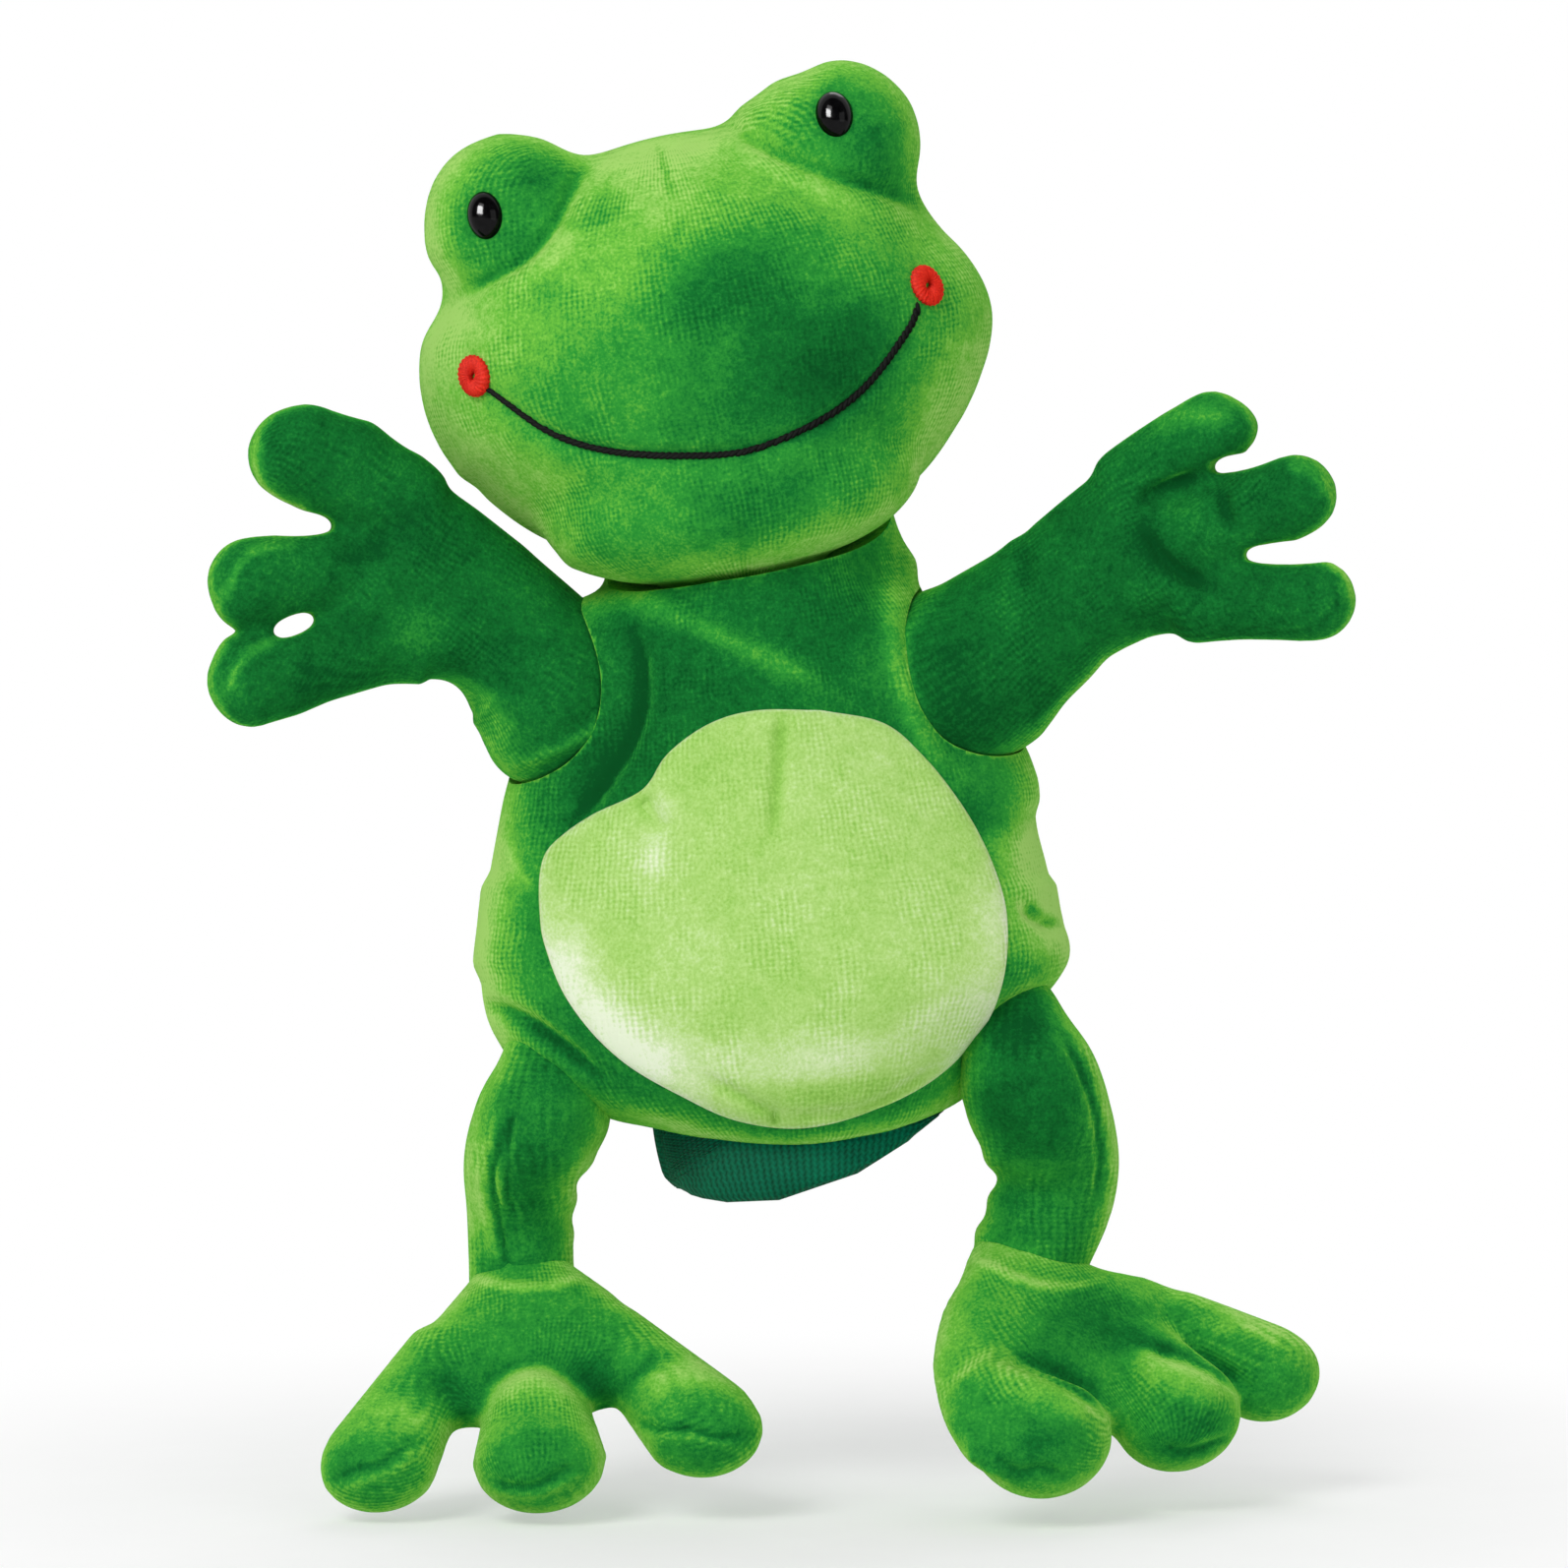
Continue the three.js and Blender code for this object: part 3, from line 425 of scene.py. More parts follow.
class Plush:
    """One stuffed piece on its way from a form to a dressed object."""

    def __init__(self, name: str, form: Form, voxel: float, softness: int) -> None:
        """Joins a form's shapes into one skin.

        Args:
            name: The piece's name.
            form: Its shape, in its body's own frame.
            voxel: How fine the skin is, in millimetres.
            softness: How many rounds of smoothing melt the shapes together.
        """
        self.obj = linked(name, form.mesh(name))
        self.skin(voxel, softness)

    @classmethod
    def wrap(cls, name: str, mesh: bpy.types.Mesh) -> Plush:
        """A piece from a mesh that needs no skin of its own."""
        piece = cls.__new__(cls)
        piece.obj = linked(name, mesh)
        return piece

    def settle(self) -> None:
        """Applies the modifiers to the mesh."""
        graph = bpy.context.evaluated_depsgraph_get()
        done = bpy.data.meshes.new_from_object(self.obj.evaluated_get(graph), depsgraph=graph)
        old = self.obj.data
        self.obj.modifiers.clear()
        self.obj.data = done
        bpy.data.meshes.remove(old)
        done.name = self.obj.name

    def skin(self, voxel: float, softness: int) -> None:
        """Covers the shapes with one even skin and smooths it."""
        remesh = self.obj.modifiers.new("skin", "REMESH")
        remesh.mode = "VOXEL"
        remesh.voxel_size = voxel
        self.settle()
        self.smooth(softness)

    def smooth(self, rounds: int) -> None:
        """Evens the skin out, so many rounds."""
        bm = bmesh.new()
        bm.from_mesh(self.obj.data)
        for _ in range(rounds):
            bmesh.ops.smooth_vert(
                bm, verts=bm.verts, factor=0.5, use_axis_x=True, use_axis_y=True, use_axis_z=True
            )
        bm.to_mesh(self.obj.data)
        bm.free()

    def cut(self, tool: Form, voxel: float) -> None:
        """Takes another form's space out of the piece.

        Args:
            tool: The form.
            voxel: How fine the skin is that makes one shape of it, in millimetres.
        """
        knife = Plush("knife", tool, voxel, 1).obj
        boolean = self.obj.modifiers.new("cut", "BOOLEAN")
        boolean.operation = "DIFFERENCE"
        boolean.solver = "MANIFOLD"
        boolean.object = knife
        self.settle()
        bpy.data.meshes.remove(knife.data)

    def puff(self, pressure: float, most: float, frames: int = 14) -> None:
        """Blows the piece up like filling does, as simulated cloth.

        Args:
            pressure: How hard the filling presses.
            most: How far a point may move, in millimetres.
            frames: How long the cloth swells.
        """
        scene = bpy.context.scene
        self.obj.data.transform(Matrix.Scale(MM, 4))
        rest = self.points()
        cloth = self.obj.modifiers.new("puff", "CLOTH")
        cloth.settings.quality = 4
        cloth.settings.mass = 0.1
        cloth.settings.tension_stiffness = 12
        cloth.settings.compression_stiffness = 12
        cloth.settings.shear_stiffness = 6
        cloth.settings.bending_stiffness = 0.3
        cloth.settings.use_pressure = True
        cloth.settings.uniform_pressure_force = pressure
        cloth.settings.effector_weights.gravity = 0
        cloth.point_cache.frame_start = 1
        cloth.point_cache.frame_end = frames
        for frame in range(1, frames + 1):
            scene.frame_set(frame)
        self.settle()
        scene.frame_set(1)
        moved = self.points() - rest
        far = np.maximum(np.linalg.norm(moved, axis=1), 1e-9)
        self.put(rest + moved * np.minimum(1, most * MM / far)[:, None])
        self.obj.data.transform(Matrix.Scale(1 / MM, 4))

    def refine(self) -> None:
        """Splits every face of the skin in four, rounded."""
        finer = self.obj.modifiers.new("finer", "SUBSURF")
        finer.levels = finer.render_levels = 1
        self.settle()

    def place(self, matrix: Matrix) -> None:
        """Carries the piece from its body's own frame to the row frame, still in millimetres."""
        self.obj.data.transform(matrix)
        if matrix.determinant() < 0:
            self.obj.data.flip_normals()

    @staticmethod
    def _triples(items: bpy.types.bpy_prop_collection, key: str) -> np.ndarray:
        """Three numbers from each item of a mesh, one row each."""
        flat = np.empty(len(items) * 3, np.float32)
        items.foreach_get(key, flat)
        return flat.reshape(-1, 3).astype(float)

    def points(self) -> np.ndarray:
        """The skin's points, one row each."""
        return self._triples(self.obj.data.vertices, "co")

    def normals(self) -> np.ndarray:
        """The outward direction at each point."""
        return self._triples(self.obj.data.vertex_normals, "vector")

    def put(self, points: np.ndarray) -> None:
        """Moves the skin's points."""
        self.obj.data.vertices.foreach_set("co", points.astype(np.float32).ravel())
        self.obj.data.update()

    def tree(self) -> BVHTree:
        """The skin as something that a line can be shot at."""
        polygons = [tuple(p.vertices) for p in self.obj.data.polygons]
        return BVHTree.FromPolygons([v.co for v in self.obj.data.vertices], polygons)

    @staticmethod
    def _reach(stroke: Stroke, shown: np.ndarray, front: np.ndarray) -> np.ndarray:
        """How strongly a stroke acts on each point, on the side that it is drawn on."""
        weight = stroke.weight(shown)
        return weight * front if stroke.facing is Facing.FRONT else weight

    def _seen(self) -> tuple[np.ndarray, np.ndarray]:
        """Where each point shows on the plane, and how far it faces the viewer."""
        points = self.points()
        to_eye = np.array(VIEW.eye) - points
        to_eye /= np.linalg.norm(to_eye, axis=1)[:, None]
        front = smooth_step(np.einsum("ij,ij->i", self.normals(), to_eye), 0.0, 0.35)
        return VIEW.on_plane(points), front

    def press(self, strokes: Sequence[Stroke]) -> None:
        """Works the strokes' folds and swells into the skin."""
        shown, front = self._seen()
        depth = np.zeros(len(shown))
        for stroke in strokes:
            if stroke.depth:
                depth += stroke.depth * self._reach(stroke, shown, front)
        self.put(self.points() + self.normals() * depth[:, None])

    def brush(
        self, strokes: Sequence[Stroke], nap: float, turned: float, flat: Vector | None = None,
        edge: Point2 = (0.08, 0.75),
    ) -> None:
        """Paints the nap value: the piece's own tone, painted sheen, and painted shade and highlights.

        Args:
            strokes: Where painted shade makes it darker and painted highlights or sheen make it lighter.
            nap: How light it is on the flat of the piece, from 0 to 1.
            turned: How much lighter it is painted, as sheen, where the cloth turns away from the flat.
            flat: The direction that the flat faces, else the front.
            edge: Where the painted sheen starts and where it is full.
        """
        shown, front = self._seen()
        # Painted sheen: lighter where the cloth turns away from the flat or the front; the strokes add painted
        # shade and painted highlights.
        axis = np.array(flat if flat else (VIEW.eye - Vector(VIEW.aim)).normalized())
        away = 1 - np.abs(self.normals() @ axis)
        light = nap + turned * smooth_step(away, *edge)
        for stroke in strokes:
            if stroke.nap:
                light += stroke.nap * self._reach(stroke, shown, front)
        layer = self.obj.data.attributes.new(NAP_AND_PAINTED_LIGHT, "FLOAT", "POINT")
        layer.data.foreach_set("value", np.clip(light, 0, 1).astype(np.float32))

    def weave(self, frame: Matrix, half: Point2) -> None:
        """Lays the cloth's rows along a body's Z axis, in millimetres.

        Args:
            frame: The axis's place and direction.
            half: Half width and half depth of the oval that the cloth goes round.
        """
        mesh = self.obj.data
        local = self.points() @ np.array(frame.inverted().to_3x3()).T
        local = local + np.array(frame.inverted().translation)
        around = np.arctan2(local[:, 0] / half[0], -local[:, 1] / half[1])
        corners = whole_numbers(mesh.loops, "vertex_index")
        angle = around[corners]
        starts = angle[whole_numbers(mesh.polygons, "loop_start")]
        first = np.repeat(starts, whole_numbers(mesh.polygons, "loop_total"))
        angle = angle - 2 * math.pi * np.round((angle - first) / (2 * math.pi))
        steps = 360
        grid = np.linspace(-2 * math.pi, 2 * math.pi, 2 * steps + 1)
        speed = np.hypot(half[0] * np.cos(grid), half[1] * np.sin(grid))
        length = np.concatenate([[0], np.cumsum((speed[1:] + speed[:-1]) / 2 * np.diff(grid))])
        across = np.interp(angle, grid, length - length[steps])
        flat = np.stack([across, local[corners, 2]], axis=1).astype(np.float32)
        layer = mesh.uv_layers.new(name=WEAVE)
        layer.uv.foreach_set("vector", flat.ravel())

    def finish(self, material: bpy.types.Material) -> bpy.types.Object:
        """Takes the piece to metres and dresses it.

        Args:
            material: What it is made of.

        Returns:
            The finished object.
        """
        mesh = self.obj.data
        mesh.transform(Matrix.Scale(MM, 4))
        mesh.polygons.foreach_set("use_smooth", np.ones(len(mesh.polygons), bool))
        mesh.set_sharp_from_angle(angle=SHARP_EDGE)
        mesh.materials.clear()
        mesh.materials.append(material)
        LOG.info("%s: %d faces", self.obj.name, len(mesh.polygons))
        return self.obj


class Wiring:
    """A node tree, with short ways to add to it."""

    def __init__(self, tree: bpy.types.NodeTree) -> None:
        """Takes the tree to fill."""
        self.tree = tree

    @classmethod
    def of(cls, owner: bpy.types.Material | bpy.types.World) -> Wiring:
        """The emptied tree of a material or a world."""
        owner.use_nodes = True
        owner.node_tree.nodes.clear()
        return cls(owner.node_tree)

    def add(self, kind: str, inputs: dict | None = None, **settings: object) -> bpy.types.Node:
        """Adds a node.

        Args:
            kind: The node's type.
            inputs: What goes into its sockets, a value or another node's output.
            settings: The node's own options.

        Returns:
            The node.
        """
        node = self.tree.nodes.new(kind)
        for key, value in settings.items():
            setattr(node, key, value)
        for key, value in (inputs or {}).items():
            if isinstance(value, bpy.types.NodeSocket):
                self.tree.links.new(value, node.inputs[key])
            else:
                node.inputs[key].default_value = value
        return node

    def math(
        self, operation: str, first: object, second: object = 0.0, third: object = 0.0
    ) -> bpy.types.NodeSocket:
        """The result of a sum on up to three values."""
        return self.add("ShaderNodeMath", {0: first, 1: second, 2: third}, operation=operation).outputs[0]

    def noise(self, place: object, scale: float, detail: float = 2.0) -> bpy.types.NodeSocket:
        """Soft random values from 0 to 1, so many to the metre."""
        inputs = {"Vector": place, "Scale": scale, "Detail": detail, "Roughness": 0.6}
        return self.add("ShaderNodeTexNoise", inputs).outputs["Fac"]

    def wave(self, value: object, pitch: float) -> bpy.types.NodeSocket:
        """A wave from 0 to 1 with a given pitch."""
        swing = self.math("SINE", self.math("MULTIPLY", value, 2 * math.pi / pitch))
        return self.math("MULTIPLY_ADD", swing, 0.5, 0.5)

    def blend(self, stops: Sequence[tuple[float, Colour]], value: object) -> bpy.types.NodeSocket:
        """A colour that follows a value through stops."""
        node = self.add("ShaderNodeValToRGB", {"Fac": value})
        ramp = node.color_ramp
        while len(ramp.elements) < len(stops):
            ramp.elements.new(0.5)
        for element, (at, colour) in zip(ramp.elements, stops):
            element.position = at
            element.color = colour
        return node.outputs["Color"]


class Effects:
    """The node groups that several finishes share."""

    @staticmethod
    def open(name: str, inputs: Sequence[tuple[str, str]], outputs: Sequence[str]) -> bpy.types.NodeTree:
        """Starts a group.

        Args:
            name: The group's name.
            inputs: Names and socket types.
            outputs: Names of its values.

        Returns:
            The group's tree.
        """
        tree = bpy.data.node_groups.new(name, "ShaderNodeTree")
        for label, kind in inputs:
            tree.interface.new_socket(name=label, in_out="INPUT", socket_type=kind)
        for label in outputs:
            tree.interface.new_socket(name=label, in_out="OUTPUT", socket_type="NodeSocketFloat")
        return tree

    @classmethod
    def pile(cls) -> bpy.types.NodeTree:
        """Short velour pile: rows of loops, courses across them, fibres and brushed patches.

        Returns:
            The group, which puts out Shade and Height.
        """
        if "velour_pile" in bpy.data.node_groups:
            return bpy.data.node_groups["velour_pile"]
        inputs = (
            ("Weave", "NodeSocketVector"),
            ("Place", "NodeSocketVector"),
            ("Nap", "NodeSocketFloat"),
        )
        tree = cls.open("velour_pile", inputs, ("Shade", "Height"))
        wires = Wiring(tree)
        given = wires.add("NodeGroupInput").outputs
        apart = wires.add("ShaderNodeSeparateXYZ", {0: given["Weave"]}).outputs
        wander = wires.math("MULTIPLY", wires.noise(given["Place"], scale=160.0), 1.6)
        rows = wires.wave(wires.math("ADD", apart["X"], wander), 1.35)
        courses = wires.wave(wires.math("ADD", apart["Y"], wander), 1.15)
        fibre = wires.noise(given["Place"], scale=1500.0, detail=3.0)
        tuft = wires.noise(given["Place"], scale=420.0, detail=2.0)
        brushed = wires.noise(given["Place"], scale=48.0, detail=3.0)
        patch = wires.noise(given["Place"], scale=75.0, detail=1.0)
        seen = wires.add(
            "ShaderNodeMapRange", {0: patch, 1: 0.42, 2: 0.62}, interpolation_type="SMOOTHSTEP"
        ).outputs[0]
        grid = wires.math("MULTIPLY_ADD", rows, 0.65, wires.math("MULTIPLY", courses, 0.35))
        ribbed = wires.math("MULTIPLY", wires.math("SUBTRACT", grid, 0.5), seen)
        # The Nap input carries painted sheen, highlights and shade; the shade starts from it, and rows show
        # more where it is lighter.
        plain = wires.math("MULTIPLY_ADD", given["Nap"], 0.2, 0.1)
        shade = wires.math("MULTIPLY_ADD", ribbed, plain, given["Nap"])
        for value, strength in ((fibre, 0.55), (tuft, 0.28), (brushed, 0.45)):
            share = wires.math("MULTIPLY", wires.math("SUBTRACT", value, 0.5), strength)
            shade = wires.math("ADD", shade, share)
        height = wires.math("ADD", wires.math("MULTIPLY", ribbed, 0.5), wires.math("MULTIPLY", fibre, 0.5))
        height = wires.math("ADD", height, wires.math("MULTIPLY", tuft, 0.5))
        wires.add("NodeGroupOutput", {"Shade": shade, "Height": height})
        return tree

    @classmethod
    def thread(cls) -> bpy.types.NodeTree:
        """Fine fibres along sewing thread.

        Returns:
            The group, which puts out Shade and Height.
        """
        if "thread_fibre" in bpy.data.node_groups:
            return bpy.data.node_groups["thread_fibre"]
        tree = cls.open("thread_fibre", (("Place", "NodeSocketVector"),), ("Shade", "Height"))
        wires = Wiring(tree)
        given = wires.add("NodeGroupInput").outputs
        fibre = wires.noise(given["Place"], scale=2600.0, detail=2.0)
        worn = wires.noise(given["Place"], scale=500.0, detail=2.0)
        shade = wires.math("ADD", wires.math("MULTIPLY", fibre, 0.6), wires.math("MULTIPLY", worn, 0.4))
        wires.add("NodeGroupOutput", {"Shade": shade, "Height": fibre})
        return tree


@dataclass(frozen=True)
class Finish:
    """What a piece is made of."""

    name: str

    def material(self) -> bpy.types.Material:
        """The finish as a material, made once."""
        if self.name in bpy.data.materials:
            return bpy.data.materials[self.name]
        made = bpy.data.materials.new(self.name)
        wires = Wiring.of(made)
        shader = self.shader(wires)
        wires.add("ShaderNodeOutputMaterial", {"Surface": shader.outputs["BSDF"]})
        return made

    def shader(self, wires: Wiring) -> bpy.types.Node:
        """Wires the finish's own shader, which each kind of finish does in its way."""
        raise NotImplementedError


@dataclass(frozen=True)
class Velour(Finish):
    """Short-pile plush cloth whose colour is lighter where sheen and highlights are painted and darker where
    shade is painted.
    """

    stops: tuple[tuple[float, Colour], ...]
    sheen: Colour
    relief: float = 0.00035

    def shader(self, wires: Wiring) -> bpy.types.Node:
        """Wires the pile over the cloth's weave, coloured by the nap value with its painted sheen, highlights
        and shade.
        """
        given = {
            "Weave": wires.add("ShaderNodeUVMap", uv_map=WEAVE).outputs["UV"],
            "Place": wires.add("ShaderNodeTexCoord").outputs["Object"],
            "Nap": wires.add("ShaderNodeAttribute", attribute_name=NAP_AND_PAINTED_LIGHT).outputs["Fac"],
        }
        pile = wires.add("ShaderNodeGroup", given, node_tree=Effects.pile()).outputs
        relief = {"Strength": 0.55, "Distance": self.relief, "Height": pile["Height"]}
        inputs = {
            # The base colour carries the painted sheen, highlights and shade along with the pile's own tone.
            "Base Color": wires.blend(self.stops, pile["Shade"]),
            "Roughness": 0.92,
            "Specular IOR Level": 0.0,
            "Sheen Weight": 0.12,
            "Sheen Roughness": 0.4,
            "Sheen Tint": self.sheen,
            "Normal": wires.add("ShaderNodeBump", relief).outputs["Normal"],
        }
        return wires.add("ShaderNodeBsdfPrincipled", inputs)


@dataclass(frozen=True)
class Knit(Finish):
    """Ribbed knitting with stitches that stand in columns of Vs."""

    dark: Colour
    light: Colour
    rib: float
    course: float

    def shader(self, wires: Wiring) -> bpy.types.Node:
        """Wires ribs, slanted stitches and fibres."""
        weave = wires.add("ShaderNodeUVMap", uv_map=WEAVE).outputs["UV"]
        place = wires.add("ShaderNodeTexCoord").outputs["Object"]
        apart = wires.add("ShaderNodeSeparateXYZ", {0: weave}).outputs
        rib = wires.wave(apart["X"], self.rib)
        slant = wires.math("PINGPONG", apart["X"], self.rib / 2)
        stitch = wires.wave(wires.math("ADD", apart["Y"], slant), self.course)
        fibre = wires.noise(place, scale=1800.0, detail=3.0)
        mottle = wires.noise(place, scale=120.0, detail=2.0)
        shade = wires.math("MULTIPLY", rib, 0.3)
        for value, strength in ((stitch, 0.15), (fibre, 0.35), (mottle, 0.35)):
            shade = wires.math("ADD", shade, wires.math("MULTIPLY", value, strength))
        relief = {"Strength": 0.6, "Distance": 0.0004, "Height": shade}
        inputs = {
            "Base Color": wires.blend(((0.25, self.dark), (0.9, self.light)), shade),
            "Roughness": 0.85,
            "Specular IOR Level": 0.05,
            "Sheen Weight": 0.06,
            "Sheen Roughness": 0.4,
            "Normal": wires.add("ShaderNodeBump", relief).outputs["Normal"],
        }
        return wires.add("ShaderNodeBsdfPrincipled", inputs)


@dataclass(frozen=True)
class Thread(Finish):
    """Twisted sewing thread."""

    dark: Colour
    light: Colour
    roughness: float

    def shader(self, wires: Wiring) -> bpy.types.Node:
        """Wires the thread's fibres."""
        place = wires.add("ShaderNodeTexCoord").outputs["Object"]
        fibre = wires.add("ShaderNodeGroup", {"Place": place}, node_tree=Effects.thread()).outputs
        relief = {"Strength": 0.4, "Distance": 0.0002, "Height": fibre["Height"]}
        inputs = {
            "Base Color": wires.blend(((0.3, self.dark), (0.75, self.light)), fibre["Shade"]),
            "Roughness": self.roughness,
            "Specular IOR Level": 0.05,
            "Normal": wires.add("ShaderNodeBump", relief).outputs["Normal"],
        }
        return wires.add("ShaderNodeBsdfPrincipled", inputs)


@dataclass(frozen=True)
class Moulded(Finish):
    """Moulded plastic with faint handling marks."""

    dark: Colour
    light: Colour
    gloss: Point2

    def shader(self, wires: Wiring) -> bpy.types.Node:
        """Wires a faint haze and fine marks."""
        place = wires.add("ShaderNodeTexCoord").outputs["Object"]
        haze = wires.noise(place, scale=700.0, detail=3.0)
        marks = wires.noise(place, scale=3200.0, detail=2.0)
        smooth, dull = self.gloss
        rough = wires.add("ShaderNodeMapRange", {0: haze, 1: 0.3, 2: 0.7, 3: smooth, 4: dull})
        relief = {"Strength": 0.05, "Distance": 0.00005, "Height": marks}
        inputs = {
            "Base Color": wires.blend(((0.35, self.dark), (0.7, self.light)), haze),
            "Roughness": rough.outputs[0],
            "Specular IOR Level": 0.12,
            "Normal": wires.add("ShaderNodeBump", relief).outputs["Normal"],
        }
        return wires.add("ShaderNodeBsdfPrincipled", inputs)


# The lighter stops show painted sheen and highlights, the darker ones painted shade, over the cloth's own
# green.
GREEN_VELOUR = Velour(
    "green_pile",
    (
        (0.06, srgb(12, 82, 36)),
        (0.28, srgb(23, 116, 48)),
        (0.5, srgb(50, 154, 56)),
        (0.72, srgb(112, 192, 66)),
        (0.96, srgb(168, 216, 112)),
    ),
    srgb(120, 215, 80),
)
# The lighter stops show painted sheen and highlights, the darker ones painted shade, over the patch's own pale
# green.
PALE_VELOUR = Velour(
    "pale_pile",
    (
        (0.1, srgb(118, 176, 66)),
        (0.35, srgb(150, 202, 92)),
        (0.55, srgb(178, 218, 124)),
        (0.78, srgb(208, 232, 172)),
        (0.96, srgb(234, 244, 216)),
    ),
    srgb(225, 245, 190),
)
RIB_KNIT = Knit("cuff_knit", srgb(0, 62, 44), srgb(2, 124, 88), 1.6, 1.3)
BLACK_THREAD = Thread("mouth_cotton", srgb(4, 5, 4), srgb(20, 24, 18), 0.8)
RED_THREAD = Thread("knot_cotton", srgb(196, 20, 10), srgb(244, 58, 36), 0.7)
EYE_PLASTIC = Moulded("eye_gloss", srgb(3, 3, 4), srgb(9, 9, 11), (0.08, 0.16))
WASHER_PLASTIC = Moulded("washer_nylon", srgb(205, 205, 198), srgb(228, 228, 222), (0.35, 0.5))


class Rig:
    """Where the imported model's joints are, in millimetres, and the frames of its bodies."""

    BODY_LEAN = -5.5
    HEAD_LEAN = -10.5
    ARM_FORWARD = -22.0

    def __init__(self, joints: Sequence[dict]) -> None:
        """Reads the joints of the loaded frame."""
        self.pivots = {joint["name"]: Vector(joint["pos_m"]) / MM for joint in joints}

    def torso(self) -> Matrix:
        """The glove body's frame, with the hem at its origin."""
        return turn("Y", self.BODY_LEAN)

    def head(self) -> Matrix:
        """The head's frame, at the neck."""
        return Matrix.Translation(self.pivots["head_nod"]) @ turn("Y", self.HEAD_LEAN)

    def arm(self, side: Side, raised: float) -> Matrix:
        """One arm's frame, with the sleeve along X."""
        at = Matrix.Translation(self.pivots[f"{side.word}_arm_raise"])
        return at @ self.torso() @ side.mirror @ turn("Z", self.ARM_FORWARD) @ turn("Y", -raised)

    def leg(self, side: Side) -> Matrix:
        """One leg's frame, with the leg down along Z."""
        return Matrix.Translation(self.pivots[f"{side.word}_leg_swing"]) @ side.mirror

    def foot(self, side: Side, yaw: float, pitch: float, roll: float) -> Matrix:
        """One foot's frame, with the toes towards its own front."""
        at = Matrix.Translation(self.pivots[f"{side.word}_foot_flex"])
        return at @ side.mirror @ turn("Z", yaw) @ turn("X", pitch) @ turn("Y", -roll)


@dataclass
class Torso:
    """The glove body, with its neck, sleeve holes and the room for the hand."""

    rig: Rig
    squareness: float = 2.3
    neck_ball: float = 19.0
    sleeve_ball: float = 21.4
    hip_ball: float = 10.0
    cavity_wall: float = 8.0
    clearance: float = 0.5
    chin_room: float = 1.5
    hem_lift: float = 1.2
    left_lift: float = 6.5
    right_lift: float = 3.0
    lift_fades: Point2 = (14.0, 58.0)
    mouth_half: Point2 = (34.6, 24.6)
    mouth_shift: float = 2.5
    mouth_reach: Point2 = (-6.0, 13.5)
    knife_voxel: float = 1.2
    stations: Sections = (
        (9, 1.5, 33.5, 25.5), (13, 2, 38, 29.5), (19, 2.5, 45, 33), (26, 1.5, 54.5, 36),
        (34, 0.5, 62, 37.5), (42, 0, 65.5, 38.5), (52, 0, 66, 38), (66, 0, 63.5, 35.5),
        (80, 0, 60.5, 32.5), (92, 0, 58, 30.5), (104, 0, 53.5, 29.5), (116, 0, 48.5, 29),
        (126, 1, 43.5, 28), (132, 2.5, 35.5, 26.5), (138, 2.5, 32.5, 25), (152, 2.5, 32.5, 24),
    )
    # The nap number of each stroke paints shade (below 0) along creases and seams and highlights or sheen
    # (above 0) on ridges and sides.
    strokes: tuple[Stroke, ...] = (
        Stroke(((-39, 129.5), (-25, 124), (-6, 115.5), (7, 109)), 2.6, 1.5, 0.26),
        tone(((-28.5, 116.5), (-20.5, 112)), 9, -0.08),
        tone(((-3.5, 125), (7.5, 119.5)), 9, -0.06),
        Stroke(((19.5, 139.5), (20, 123), (22, 112), (27, 98.5), (34.5, 88.5)), 2.8, 1.4, 0.27),
        Stroke(((-39, 127), (-36, 112), (-37.5, 100.5), (-44.5, 88.5), (-52, 79.5)), 4.0, -1.6, -0.16),
        Stroke(((-37, 122.5), (-35, 112), (-36.5, 100.5), (-44, 88), (-51, 80)), 1.3, -1.2, -0.4),
        Stroke(((-68.5, 70.5), (-71, 55.5), (-68.5, 42.5)), 15, 0, 0.3, facing=Facing.AROUND),
        Stroke(((-65.5, 76), (-63, 70.5), (-59.5, 65)), 1.2, 0.5, 0.2),
        Stroke(((50, 81.5), (50.5, 66), (53, 46.5)), 15, 0, 0.4, facing=Facing.AROUND),
        Stroke(((49.5, 62), (53, 59), (58, 57)), 1.5, -2.0, -0.22, facing=Facing.AROUND),
        Stroke(((-38, 18), (-25, 12), (-3.5, 10), (18.5, 13), (37, 20.5)), 2.2, 0.6, 0.2),
        Stroke(((-70.5, 40), (-64, 38), (-55.5, 32.5), (-44.5, 24)), 1.8, -2.4, -0.3),
        Stroke(((58.5, 42), (50, 39.5), (41, 33), (33.5, 25)), 1.8, -2.2, -0.22),
        Stroke(((-55.5, 28), (-49, 24)), 5, 1.2, 0.1),
        tone(((25, 66), (38, 77), (46.5, 88)), 6, -0.06),
        swell(((-72, 70.5), (-73.5, 55.5), (-72.5, 43.5)), 12, 3.0),
        swell(((55, 85.5), (55.5, 75), (56.5, 66)), 9, -2.2),
        swell(((53, 102), (52.5, 90)), 7, 2.4),
        swell(((58, 59.5),), 8, -1.6),
        Stroke(((25.5, 136.5), (26.5, 131.5)), 6, 3.4, 0.1, facing=Facing.AROUND),
    )

    def build(self) -> Plush:
        """Sews the body and creases it along its folds.

        Returns:
            The body, in the row frame.
        """
        rings = [Ring((x, 0, z), wide, deep) for z, x, wide, deep in self.stations]
        body = Plush("glove_body", Form().limb(rings, squareness=self.squareness), voxel=3.6, softness=4)
        body.puff(pressure=4.0, most=2.5)
        body.refine()
        self._hang(body)
        body.place(self.rig.torso())
        body.skin(voxel=1.25, softness=3)
        body.press(self.strokes)
        return body

